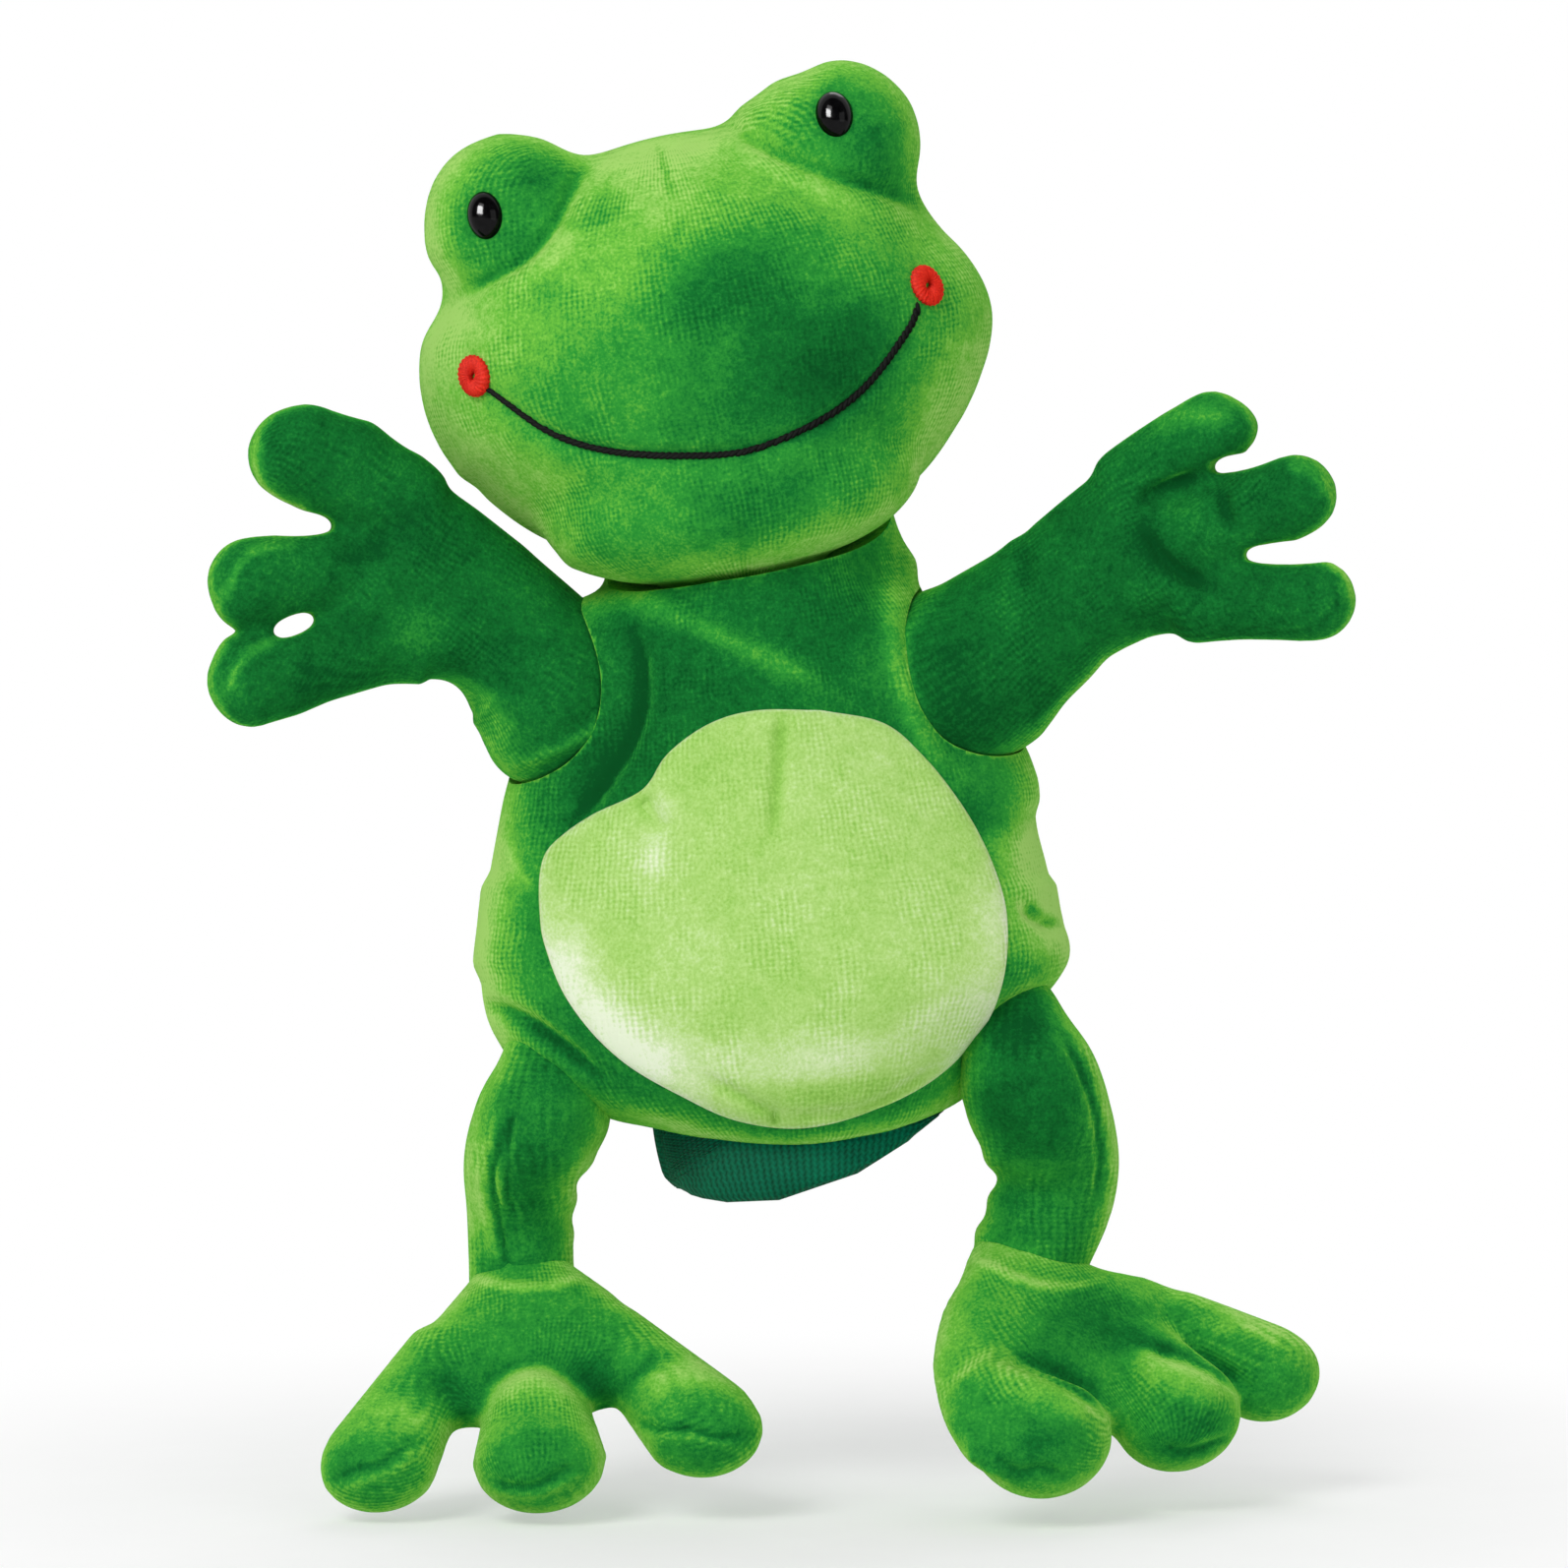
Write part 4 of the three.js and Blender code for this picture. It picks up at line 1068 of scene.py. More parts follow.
    def _hang(self, body: Plush) -> None:
        """Lifts the hem towards the left and at both corners, as the cloth hangs over the cuff and legs."""
        points = body.points()
        x, z = points[:, 0], points[:, 2]
        left = self.left_lift * smooth_step(x, 0, 42) * (1 - 0.9 * smooth_step(x, 44, 60))
        lift = self.hem_lift + left + self.right_lift * smooth_step(-x, 30, 58)
        points[:, 2] += lift * (1 - smooth_step(z, *self.lift_fades))
        body.put(points)

    def _sockets(self) -> list[Form]:
        """The balls of the neck, sleeves and legs, and the underside of the head."""
        pivots = self.rig.pivots
        skull = Head(self.rig)
        half = tuple(size + self.clearance for size in skull.half)
        middle = self.rig.head() @ Vector((0, 0, skull.middle))
        neck = Form().egg(pivots["head_nod"], (self.neck_ball,) * 3)
        neck.egg(middle, half, lean=turn("Y", self.rig.HEAD_LEAN))
        chin = tuple(size + self.chin_room for size in skull.chin)
        neck.egg(self.rig.head() @ Vector(skull.chin_at), chin, lean=turn("Y", self.rig.HEAD_LEAN))
        forms = [neck]
        for side in Side:
            forms.append(Form().egg(pivots[f"{side.word}_arm_raise"], (self.sleeve_ball,) * 3))
            forms.append(Form().egg(pivots[f"{side.word}_leg_swing"], (self.hip_ball,) * 3))
        return forms

    def _hand_room(self) -> Form:
        """The space inside for the hand, open at the hem."""
        wall = self.cavity_wall
        inner = [Ring((x, 0, z), wide - wall, deep - wall) for z, x, wide, deep in self.stations[4:9]]
        mouth = [Ring((self.mouth_shift, 0, z), *self.mouth_half) for z in self.mouth_reach]
        form = Form().limb(mouth + inner, squareness=self.squareness)
        bmesh.ops.transform(form.bm, matrix=self.rig.torso(), verts=form.bm.verts)
        return form

    def dress(self, body: Plush) -> None:
        """Cuts the holes, paints the body's sheen, highlights and shade, and gives the body its cloth and its
        place in the model.
        """
        for tool in (*self._sockets(), self._hand_room()):
            body.cut(tool, self.knife_voxel)
        body.brush(self.strokes, nap=0.27, turned=0.42)
        body.weave(self.rig.torso(), half=(60, 34))
        piece = body.finish(GREEN_VELOUR.material())
        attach(piece, "torso")
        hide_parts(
            "body_front", "body_back", "glove_lining", "left_armhole_seam", "right_armhole_seam",
            "neck_hem", "neck_thread",
        )


@dataclass
class BellyPatch:
    """The pale patch sewn flat on the belly."""

    rig: Rig
    outline: tuple[Point2, ...] = (
        (4.5, 105), (18.5, 102), (28, 93.5), (37, 81.5), (42.5, 70.5), (45.5, 59.5), (45, 46.5),
        (41, 36), (32.5, 26), (23, 19.5), (10, 14), (-2, 12), (-15, 14), (-27, 19.5), (-38, 26),
        (-46.5, 33.5), (-53, 42.5), (-57, 53), (-58, 59.5), (-58, 68.5), (-55.5, 75), (-46.5, 81.5),
        (-37, 86), (-33.5, 89), (-29.5, 95.5), (-20.5, 102), (-10, 105),
    )
    middle: Point2 = (-6.0, 58.0)
    cells: int = 110
    proud: float = 1.5
    lowest: float = 0.1
    thickness: float = 1.4
    rim: float = 3.5
    # The nap number of each stroke paints shade (below 0) in creases and sheen or highlights (above 0) on the
    # rims.
    strokes: tuple[Stroke, ...] = (
        Stroke(((-4.5, 105), (-5, 96.5), (-5.5, 88), (-6.5, 77)), 1.6, -0.9, -0.22),
        Stroke(((-36, 86), (-33, 81.5), (-29.5, 77)), 2.4, -1.8, -0.25),
        Stroke(((-31, 88), (-31.5, 77), (-34.5, 66)), 3.4, 0.4, 0.24),
        tone(((-54, 59.5), (-51, 44.5), (-40, 31.5), (-25, 23)), 7, 0.44),
        tone(((-25, 28), (-3.5, 26), (18.5, 29.5), (36, 40)), 5, 0.2),
        tone(((-5.5, 20), (10, 20), (23, 23)), 3.6, -0.2),
        tone(((42, 66), (42, 46.5), (37, 34.5)), 5, 0.18),
        tone(((7.5, 66), (3.5, 49)), 20, 0.04),
        Stroke(((-20.5, 23), (-14, 19.5), (-6.5, 14.5)), 1.5, -1.0, -0.16),
        Stroke(((-3.5, 14.5), (14, 16.5), (31.5, 26.5)), 1.4, -0.9, -0.12),
        Stroke(((-6, 16.5), (-6, 11.5)), 1.1, -1.2, -0.25),
    )

    def build(self, body: Plush) -> Plush:
        """Cuts the patch to its outline and lays it on the body.

        Args:
            body: The glove body it is sewn to.

        Returns:
            The patch, in the row frame.
        """
        bm = bmesh.new()
        bmesh.ops.create_grid(bm, x_segments=self.cells, y_segments=self.cells, size=1.0)
        middle = np.array(self.middle)
        edge = curve_through((*self.outline, self.outline[0]), 5) - middle
        angles = np.arctan2(edge[:, 1], edge[:, 0])
        order = np.argsort(angles)
        radii = np.hypot(edge[:, 0], edge[:, 1])
        tree = body.tree()
        for v in bm.verts:
            x, y = v.co.x, v.co.y
            disc = Vector((x * math.sqrt(1 - y * y / 2), y * math.sqrt(1 - x * x / 2)))
            reach = np.interp(math.atan2(disc.y, disc.x), angles[order], radii[order], period=2 * math.pi)
            share = disc.length
            spot = middle + np.array(disc) * reach
            hit, normal, _, _ = tree.ray_cast(*VIEW.ray(*spot))
            inside = min(1.0, max(0.0, (1 - share) * reach / self.rim))
            v.co = hit + normal * (self.proud * math.sqrt(1 - (1 - inside) ** 2) + self.lowest)
        bmesh.ops.recalc_face_normals(bm, faces=bm.faces)
        patch = Plush.wrap("belly_cloth", mesh_of(bm, "belly_cloth"))
        thick = patch.obj.modifiers.new("thick", "SOLIDIFY")
        thick.thickness = self.thickness
        thick.offset = -1
        patch.settle()
        patch.smooth(rounds=1)
        return patch

    def dress(self, patch: Plush) -> None:
        """Draws the patch's creases, paints their shade and the patch's sheen and highlights, and gives it its
        cloth and place.
        """
        patch.press(self.strokes)
        patch.brush(self.strokes, nap=0.5, turned=0.25)
        patch.weave(self.rig.torso(), half=(66, 38))
        piece = patch.finish(PALE_VELOUR.material())
        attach(piece, "torso")
        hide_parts("belly_patch")


@dataclass
class Cuff:
    """The ribbed knit cuff that hangs out of the hem, lower in front."""

    rig: Rig
    half: Point2 = (33.8, 23.8)
    wall: float = 2.6
    top: float = 17.0
    rim: float = 9.5
    droop: float = 9.5
    side_tilt: float = 0.185
    shift: float = 2.5
    ribs: int = 116
    rib_depth: float = 0.32
    tuck: float = 1.6
    around: int = 696
    rows: int = 12

    def build(self) -> Plush:
        """Knits the cuff as a folded band.

        Returns:
            The cuff, in the row frame.
        """
        bm = bmesh.new()
        bmesh.ops.create_circle(bm, segments=self.around, radius=1.0)
        loop = list(bm.edges)
        levels = [1 - i / self.rows for i in range(1, self.rows + 1)]
        walls = [(level, 0.0) for level in levels] + [(0.0, 1.0)] + [(1 - level, 1.0) for level in levels]
        self._lay(list(bm.verts), 1.0, 0.0)
        for level, inner in walls:
            grown = bmesh.ops.extrude_edge_only(bm, edges=loop)["geom"]
            loop = [g for g in grown if isinstance(g, bmesh.types.BMEdge)]
            fresh = [g for g in grown if isinstance(g, bmesh.types.BMVert)]
            self._flatten(fresh)
            self._lay(fresh, level, inner)
        ends = [e for e in bm.edges if e.is_boundary]
        bmesh.ops.bridge_loops(bm, edges=ends)
        bmesh.ops.recalc_face_normals(bm, faces=bm.faces)
        cuff = Plush.wrap("wrist_knit", mesh_of(bm, "wrist_knit"))
        cuff.place(self.rig.torso())
        return cuff

    @staticmethod
    def _flatten(verts: Sequence[bmesh.types.BMVert]) -> None:
        """Brings a loop back to the unit circle, so that the next row starts from its angle alone."""
        for v in verts:
            length = math.hypot(v.co.x, v.co.y)
            v.co = Vector((v.co.x / length, v.co.y / length, 0))

    def _lay(self, verts: Sequence[bmesh.types.BMVert], level: float, inner: float) -> None:
        """Puts one row of the cuff where it hangs.

        Args:
            verts: The row, on a circle.
            level: 1 at the seam in the hem and 0 at the folded rim.
            inner: 0 on the outer face and 1 on the inner one.
        """
        for v in verts:
            angle = math.atan2(v.co.y, v.co.x)
            front = max(0.0, -math.sin(angle))
            low = self.rim - self.droop * front**1.5 + self.side_tilt * self.half[0] * math.cos(angle)
            rounded = math.sqrt(max(0.0, 1 - max(0.0, 1 - 5 * level) ** 2))
            rib = self.rib_depth * math.cos(self.ribs * angle)
            inset = self.wall * (0.5 + (inner - 0.5) * (0.25 + 0.75 * rounded)) - rib * (1 - 2 * inner)
            tuck = (1 - level) ** 2 * (self.tuck + self.tuck * front)
            wide = self.half[0] - inset - tuck
            deep = self.half[1] - inset - tuck
            x = self.shift + wide * math.cos(angle)
            v.co = Vector((x, deep * math.sin(angle), low + (self.top - low) * level))

    def dress(self, cuff: Plush) -> None:
        """Gives the cuff its knitting and its place."""
        cuff.weave(self.rig.torso(), self.half)
        piece = cuff.finish(RIB_KNIT.material())
        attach(piece, "torso")
        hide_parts("wrist_cuff")


@dataclass
class Head:
    """The stuffed head with its eye mounds, mouth, knots and eyes."""

    rig: Rig
    half: Point3 = (63.5, 44.0, 51.0)
    crown: float = 47.5
    middle: float = 48.4
    neck_ball: float = 18.0
    chin: Point3 = (44.0, 25.0, 16.5)
    chin_at: Point3 = (0.0, -16.0, 13.5)
    mound: Point3 = (20.0, 21.0, 19.5)
    mound_at: Point3 = (36.0, -7.0, 36.2)
    brow_roll: float = -2.5
    brow_shift: float = 2.0
    mouth: tuple[Point2, ...] = (
        (-68.4, 175.1), (-55.3, 166.0), (-42.3, 161.9), (-27.1, 160.8), (-11.9, 161.9), (3.3, 168.2),
        (14.1, 176.2), (22.8, 187.7), (25.4, 193.1),
    )
    stitch: Point3 = (1.6, 0.58, 0.58)
    stitch_pitch: float = 1.4
    stitch_slant: float = 24.0
    stitch_lift: float = 0.25
    knots: tuple[Point2, ...] = ((27.3, 198.1), (-71.8, 178.4))
    knot_ring: float = 2.35
    knot_tube: float = 1.75
    knot_strands: int = 24
    knot_stretch: Point3 = (1.04, 1.14, 0.85)
    knot_lift: float = 0.4
    eye_profile: tuple[Point2, ...] = (
        (0, 4.0), (1.2, 3.86), (2.2, 3.42), (3.1, 2.55), (3.7, 1.5), (4.0, 0.4), (3.9, -0.5), (3.2, -1.0),
        (1.7, -1.1), (1.6, -8.0), (0, -8.2),
    )
    eye_rim: float = -1.05
    eye_stretch: Point3 = (1.06, 1.38, 1.06)
    eye_across: Point3 = (1.0, 0.0, 0.18)
    eye_sunk: float = 1.1
    eye_depth: float = 4.0
    washer_profile: tuple[Point2, ...] = (
        (1.75, -4.2), (5.2, -4.2), (5.5, -4.6), (5.5, -5.4), (5.2, -5.8), (1.75, -5.8),
    )
    washer_sunk: float = 0.3
    # The nap number of each stroke paints shade (below 0) in creases and the face's middle and sheen or
    # highlights (above 0) on cheeks and ridges.
    strokes: tuple[Stroke, ...] = (
        tone(((-15, 196.5), (-3.5, 186.5), (6.5, 177)), 15, -0.24),
        tone(((10, 196.5), (12, 185.5), (4.5, 171.5)), 9, -0.16),
        tone(((-12, 170.5), (-25, 168)), 10, -0.1),
        tone(((-44.5, 217), (-36, 212.5), (-55.5, 196.5)), 13, 0.24),
        tone(((-27, 217), (-16.5, 215.5)), 9, 0.12),
        tone(((-78, 221.5), (-79, 209.5)), 7, 0.16),
        tone(((-79, 174.5), (-75, 164)), 9, 0.12),
        tone(((-46.5, 225), (-29.5, 228.5), (-15, 229.5)), 6, 0.24),
        tone(((-5.5, 220.5), (10, 215)), 9, 0.14),
        tone(((-75, 189), (-64, 184.5)), 11, 0.25),
        tone(((-75, 166), (-64, 156), (-49, 148.5)), 10, 0.14),
        tone(((-27, 152), (-12, 151), (5.5, 154.5)), 7, -0.16),
        tone(((-12, 140), (3.5, 141.5), (15, 146.5)), 6, 0.05),
        tone(((37, 190), (34, 174.5), (27, 161.5)), 8, 0.18),
        tone(((-58, 222), (-53.5, 224)), 6, -0.2),
        tone(((-65, 205.5), (-55.5, 211.5)), 4, -0.14),
        tone(((15.5, 235.5), (17.5, 225.5), (25, 219)), 7, -0.18),
        tone(((-11, 233.5), (-1, 241)), 7, 0.16),
        Stroke(((-32, 229.5), (-30, 223.5), (-28.5, 217)), 0.9, -0.5, -0.25),
        Stroke(((-28, 215), (-26.5, 208.5)), 1.2, -0.4, -0.1),
        Stroke(((-13, 147.5), (-13, 140), (-12.5, 134)), 0.9, -0.6, -0.1),
        Stroke(
            ((-46, 227), (-50, 220.5), (-55, 211), (-61, 204.5), (-70.5, 199), (-79, 195.5)), 1.6, -1.7, -0.16
        ),
        Stroke(((-44, 222.5), (-48.5, 215), (-53, 207), (-59.5, 200.5), (-69.5, 195.5)), 3.0, 0.8, 0.2),
        Stroke(((-16, 233), (-5.5, 227), (7.5, 222), (23, 217.5), (29, 215.5)), 1.5, -1.5, -0.18),
        Stroke(((-14, 229), (-3.5, 223), (10, 217.5), (25, 213.5)), 3.0, 0.6, 0.12),
        Stroke(
            ((-67.5, 168), (-54, 160.5), (-41, 157), (-27, 156), (-12, 157), (4.5, 164), (14, 171.5)),
            5, 1.0, 0.05,
        ),
        Stroke(
            (
                (-68.5, 175), (-55.5, 166), (-42.5, 162), (-27, 161), (-12, 162), (3.5, 168), (14, 176),
                (23, 187.5),
            ),
            1.6, -1.3, -0.15,
        ),
        # Painted shadow under the chin.
        tone(((-42.5, 137.5), (-25, 132.5), (-3.5, 132), (14, 136.5)), 3, -0.2),
        swell(((-13, 236),), 5, 2.0),
        swell(((-0.5, 246.5),), 6, -1.4),
        swell(((-76, 157.5), (-64, 146), (-49, 138)), 9, -2.2),
        swell(((30.5, 212.5),), 10, -2.6),
        swell(((41, 192),), 10, 1.6),
        swell(((34.5, 164), (27, 153)), 10, -0.9),
        swell(((-82, 202),), 7, 1.8),
        swell(((-79.5, 194.5),), 7, -2.6),
    )

    def build(self) -> Plush:
        """Stuffs the head.

        Returns:
            The head, in the row frame.
        """
        form = Form()
        form.egg((0, 0, self.middle), self.half, up=self.crown)
        brow = Matrix.Translation((self.brow_shift, 0, self.middle)) @ turn("Y", self.brow_roll)
        for side in Side:
            form.egg(brow @ (side.mirror @ Vector(self.mound_at)), self.mound)
        form.egg(self.chin_at, self.chin)
        form.egg((0, 0, 0), (self.neck_ball,) * 3)
        head = Plush("head_cover", form, voxel=3.2, softness=3)
        head.puff(pressure=4.0, most=2.0)
        head.refine()
        head.place(self.rig.head())
        head.skin(voxel=1.15, softness=4)
        return head

    def dress(self, head: Plush) -> None:
        """Draws the face's folds, paints their shade and the face's sheen and highlights, sews mouth and eyes
        on, and gives all their places.
        """
        eyes = [self._eye_place(side) for side in Side]
        # The eye hollows are pressed in and painted darker, as shade.
        hollows = tuple(Stroke((spot,), 6.0, -1.2, -0.12) for spot in eyes)
        head.press(self.strokes + hollows)
        head.brush(self.strokes + hollows, nap=0.48, turned=0.3)
        head.weave(self.rig.head(), half=(63, 44))
        tree = head.tree()
        self._mouth(tree)
        for side, spot in zip(Side, self.knots):
            self._knot(tree, side, spot)
        for side, spot in zip(Side, eyes):
            self._eye(tree, side, spot)
            self._washer(tree, side, spot)
        piece = head.finish(GREEN_VELOUR.material())
        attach(piece, "head")
        names = ["head_face", "head_back", "head_stuffing", "finger_tube"]
        names += [f"{side.word}_{part}" for side in Side for part in ("eye_mound", "mound_stuffing")]
        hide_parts(*names)

    def _eye_place(self, side: Side) -> Point2:
        """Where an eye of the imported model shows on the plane."""
        low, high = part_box(f"{side.word}_eye")
        front = Vector(((low[0] + high[0]) / 2, low[1] + self.eye_depth * MM, (low[2] + high[2]) / 2)) / MM
        shown = VIEW.on_plane(np.array([front]))[0]
        return float(shown[0]), float(shown[1])

    def _mouth(self, tree: BVHTree) -> None:
        """Sews the mouth as a row of slanted stitches that wrap each other like rope.

        Args:
            tree: The head's skin.
        """
        line = curve_through(self.mouth, 12)
        lengths = np.concatenate([[0], np.cumsum(np.linalg.norm(np.diff(line, axis=0), axis=1))])
        bm = bmesh.new()
        for at in np.arange(0, lengths[-1], self.stitch_pitch):
            x, z = (np.interp(at, lengths, line[:, i]) for i in range(2))
            ahead = [np.interp(min(at + 1, lengths[-1]), lengths, line[:, i]) for i in range(2)]
            back = [np.interp(max(at - 1, 0), lengths, line[:, i]) for i in range(2)]
            hit, normal, _, _ = tree.ray_cast(*VIEW.ray(x, z))
            along = Vector((ahead[0] - back[0], 0, ahead[1] - back[1]))
            place = seat(hit + normal * self.stitch_lift, normal, along)
            made = bmesh.ops.create_uvsphere(bm, u_segments=8, v_segments=6, radius=1.0)["verts"]
            bmesh.ops.scale(bm, vec=self.stitch, verts=made)
            bmesh.ops.transform(bm, matrix=place @ turn("Z", self.stitch_slant), verts=made)
        self._sewn("mouth_stitches", bm, BLACK_THREAD.material(), "black_thread", "mouth_thread")

    def _knot(self, tree: BVHTree, side: Side, spot: Point2) -> None:
        """Winds a ring of red thread at a corner of the mouth.

        Args:
            tree: The head's skin.
            side: Which corner.
            spot: Where it shows.
        """
        hit, normal, _, _ = tree.ray_cast(*VIEW.ray(*spot))
        bm = bmesh.new()
        made = bmesh.ops.create_circle(bm, segments=14, radius=self.knot_tube)["verts"]
        bmesh.ops.rotate(bm, matrix=turn("X", 90).to_3x3(), verts=made)
        bmesh.ops.translate(bm, vec=(self.knot_ring, 0, 0), verts=made)
        self._spin(bm, 120)
        for v in bm.verts:
            angle = math.atan2(v.co.y, v.co.x)
            core = Vector((self.knot_ring * math.cos(angle), self.knot_ring * math.sin(angle), 0))
            twist = math.atan2(v.co.z, math.hypot(v.co.x, v.co.y) - self.knot_ring)
            wound = math.cos(self.knot_strands * angle + 2 * twist)
            v.co = core + (v.co - core) * (0.97 + 0.07 * wound + 0.09 * math.cos(2 * angle + 1))
        bmesh.ops.scale(bm, vec=self.knot_stretch, verts=bm.verts)
        place = seat(hit + normal * self.knot_lift, normal, Vector((1, 0, 0)))
        bmesh.ops.transform(bm, matrix=place, verts=bm.verts)
        name = f"{side.word}_mouth_knot"
        self._sewn(f"{side.word}_knot_ring", bm, RED_THREAD.material(), "red_thread", name)

    def _eye(self, tree: BVHTree, side: Side, spot: Point2) -> None:
        """Turns a domed eye with a soft rim, and sets it in the mound.

        Args:
            tree: The head's skin.
            side: Which eye.
            spot: Where it shows.
        """
        hit, normal, _, _ = tree.ray_cast(*VIEW.ray(*spot))
        bm = self._turned(self.eye_profile, 48)
        dome = [v for v in bm.verts if v.co.z > self.eye_rim]
        bmesh.ops.scale(bm, vec=self.eye_stretch, verts=dome)
        place = seat(hit - normal * self.eye_sunk, normal, Vector(self.eye_across))
        bmesh.ops.transform(bm, matrix=place, verts=bm.verts)
        piece = self._sewn(
            f"{side.word}_eye_dome", bm, EYE_PLASTIC.material(), "black_eye", f"{side.word}_eye"
        )
        finer = piece.modifiers.new("finer", "SUBSURF")
        finer.levels = finer.render_levels = 1

    def _washer(self, tree: BVHTree, side: Side, spot: Point2) -> None:
        """Turns the washer that holds an eye's shank inside the mound.

        Args:
            tree: The head's skin.
            side: Which eye.
            spot: Where the eye shows.
        """
        hit, normal, _, _ = tree.ray_cast(*VIEW.ray(*spot))
        bm = self._turned((*self.washer_profile, self.washer_profile[0]), 40)
        place = seat(hit - normal * self.washer_sunk, normal, Vector(self.eye_across))
        bmesh.ops.transform(bm, matrix=place, verts=bm.verts)
        name = f"{side.word}_eye_washer"
        self._sewn(f"{side.word}_eye_disc", bm, WASHER_PLASTIC.material(), "washer_plastic", name)

    def _turned(self, profile: Sequence[Point2], steps: int) -> bmesh.types.BMesh:
        """A shape that is round the Z axis, from its outline of radius and height."""
        bm = bmesh.new()
        verts = [bm.verts.new((r, 0, z)) for r, z in profile]
        for pair in zip(verts, verts[1:]):
            bm.edges.new(pair)
        self._spin(bm, steps)
        return bm

    @staticmethod
    def _spin(bm: bmesh.types.BMesh, steps: int) -> None:
        """Turns an outline once round the Z axis and closes it."""
        bmesh.ops.spin(
            bm, geom=bm.verts[:] + bm.edges[:], axis=(0, 0, 1), cent=(0, 0, 0), angle=2 * math.pi,
            steps=steps, use_merge=True,
        )
        bmesh.ops.remove_doubles(bm, verts=bm.verts, dist=MERGE_GAP)

    @staticmethod
    def _sewn(
        name: str, bm: bmesh.types.BMesh, material: bpy.types.Material, slot: str, node: str
    ) -> bpy.types.Object:
        """Finishes a small piece of the face.

        Args:
            name: The piece's name.
            bm: Its mesh, in millimetres; it is used up.
            material: What it is made of.
            slot: A material slot name; not used.
            node: The node that it stands for.

        Returns:
            The piece.
        """
        bmesh.ops.recalc_face_normals(bm, faces=bm.faces)
        bmesh.ops.scale(bm, vec=(MM, MM, MM), verts=bm.verts)
        for face in bm.faces:
            face.smooth = True
        mesh = mesh_of(bm, name)
        mesh.materials.append(material)
        piece = linked(name, mesh)
        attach(piece, "head")
        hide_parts(node)
        LOG.info("%s: %d faces", name, len(mesh.polygons))
        return piece


@dataclass(frozen=True)
class Finger:
    """A finger of the hand, flat in the arm's plane: its root, its tip's middle and its thickness."""

    root: Point2
    tip: Point2
    radius: float


@dataclass(frozen=True)
class Gap:
    """The space between two fingers, as it shows: its deep end, its open end and its half height."""

    deep: Point2
    open: Point2
    half: float


@dataclass
class Arm:
    """A sleeve with a flat three-fingered hand."""

    rig: Rig
    side: Side
    raised: float
    sections: Sections
    palm_at: Point2
    palm: Point3
    fingers: tuple[Finger, ...]
    gaps: tuple[Gap, ...]
    strokes: tuple[Stroke, ...]
    ball: float = 20.8
    flatness: float = 0.9
    gap_depth: float = 40.0

    def build(self) -> Plush:
        """Stuffs the arm.

        Returns:
            The arm, in the row frame.
        """
        form = Form().egg((0, 0, 0), (self.ball,) * 3)
        form.limb([Ring((x, 0, z), tall, deep) for x, z, tall, deep in self.sections])
        form.egg((self.palm_at[0], 0, self.palm_at[1]), self.palm)
        for finger in self.fingers:
            root, tip = (Vector((x, 0, z)) for x, z in (finger.root, finger.tip))
            deep = finger.radius * self.flatness
            form.limb([Ring(root, finger.radius, deep), Ring(tip, finger.radius, deep)])
            form.egg(tip, (finger.radius, deep, finger.radius))
        arm = Plush(f"{self.side.word}_sleeve", form, voxel=1.7, softness=3)
        for gap in self.gaps:
            arm.cut(self._between(gap), voxel=0.5)
        arm.skin(voxel=1.25, softness=1)
        arm.puff(pressure=3.0, most=1.2)
        arm.place(self.rig.arm(self.side, self.raised))
        arm.refine()
        arm.press(self.strokes)
        return arm

    def _between(self, gap: Gap) -> Form:
        """The space of a gap, cut straight back from where it shows.

        Args:
            gap: The gap between two fingers.

        Returns:
            Its shape, in the arm's frame.
        """
        back = self.rig.arm(self.side, self.raised).inverted()
        ends = []
        for spot in (gap.deep, gap.open):
            eye, sight = VIEW.ray(*spot)
            eye, sight = back @ eye, back.to_3x3() @ sight
            ends.append(eye - sight * (eye.y / sight.y))
        along = ends[1] - ends[0]
        place = seat((ends[0] + ends[1]) / 2, -sight, along)
        return Form().egg((0, 0, 0), (along.length / 2, gap.half, self.gap_depth), lean=place)

    def dress(self, arm: Plush) -> None:
        """Draws the hand's creases, paints their shade and the sheen at the arm's rims, and gives the arm its
        cloth and place.
        """
        frame = self.rig.arm(self.side, self.raised)
        flat = frame.to_3x3() @ Vector((0, 1, 0))
        arm.brush(self.strokes, nap=0.21, turned=0.42, flat=flat, edge=(0.35, 0.97))
        arm.weave(frame @ turn("Y", 90), half=(19, 12))
        piece = arm.finish(GREEN_VELOUR.material())
        word = self.side.word
        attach(piece, f"{word}_arm")
        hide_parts(f"{word}_arm_front", f"{word}_arm_back", f"{word}_hand_stuffing")


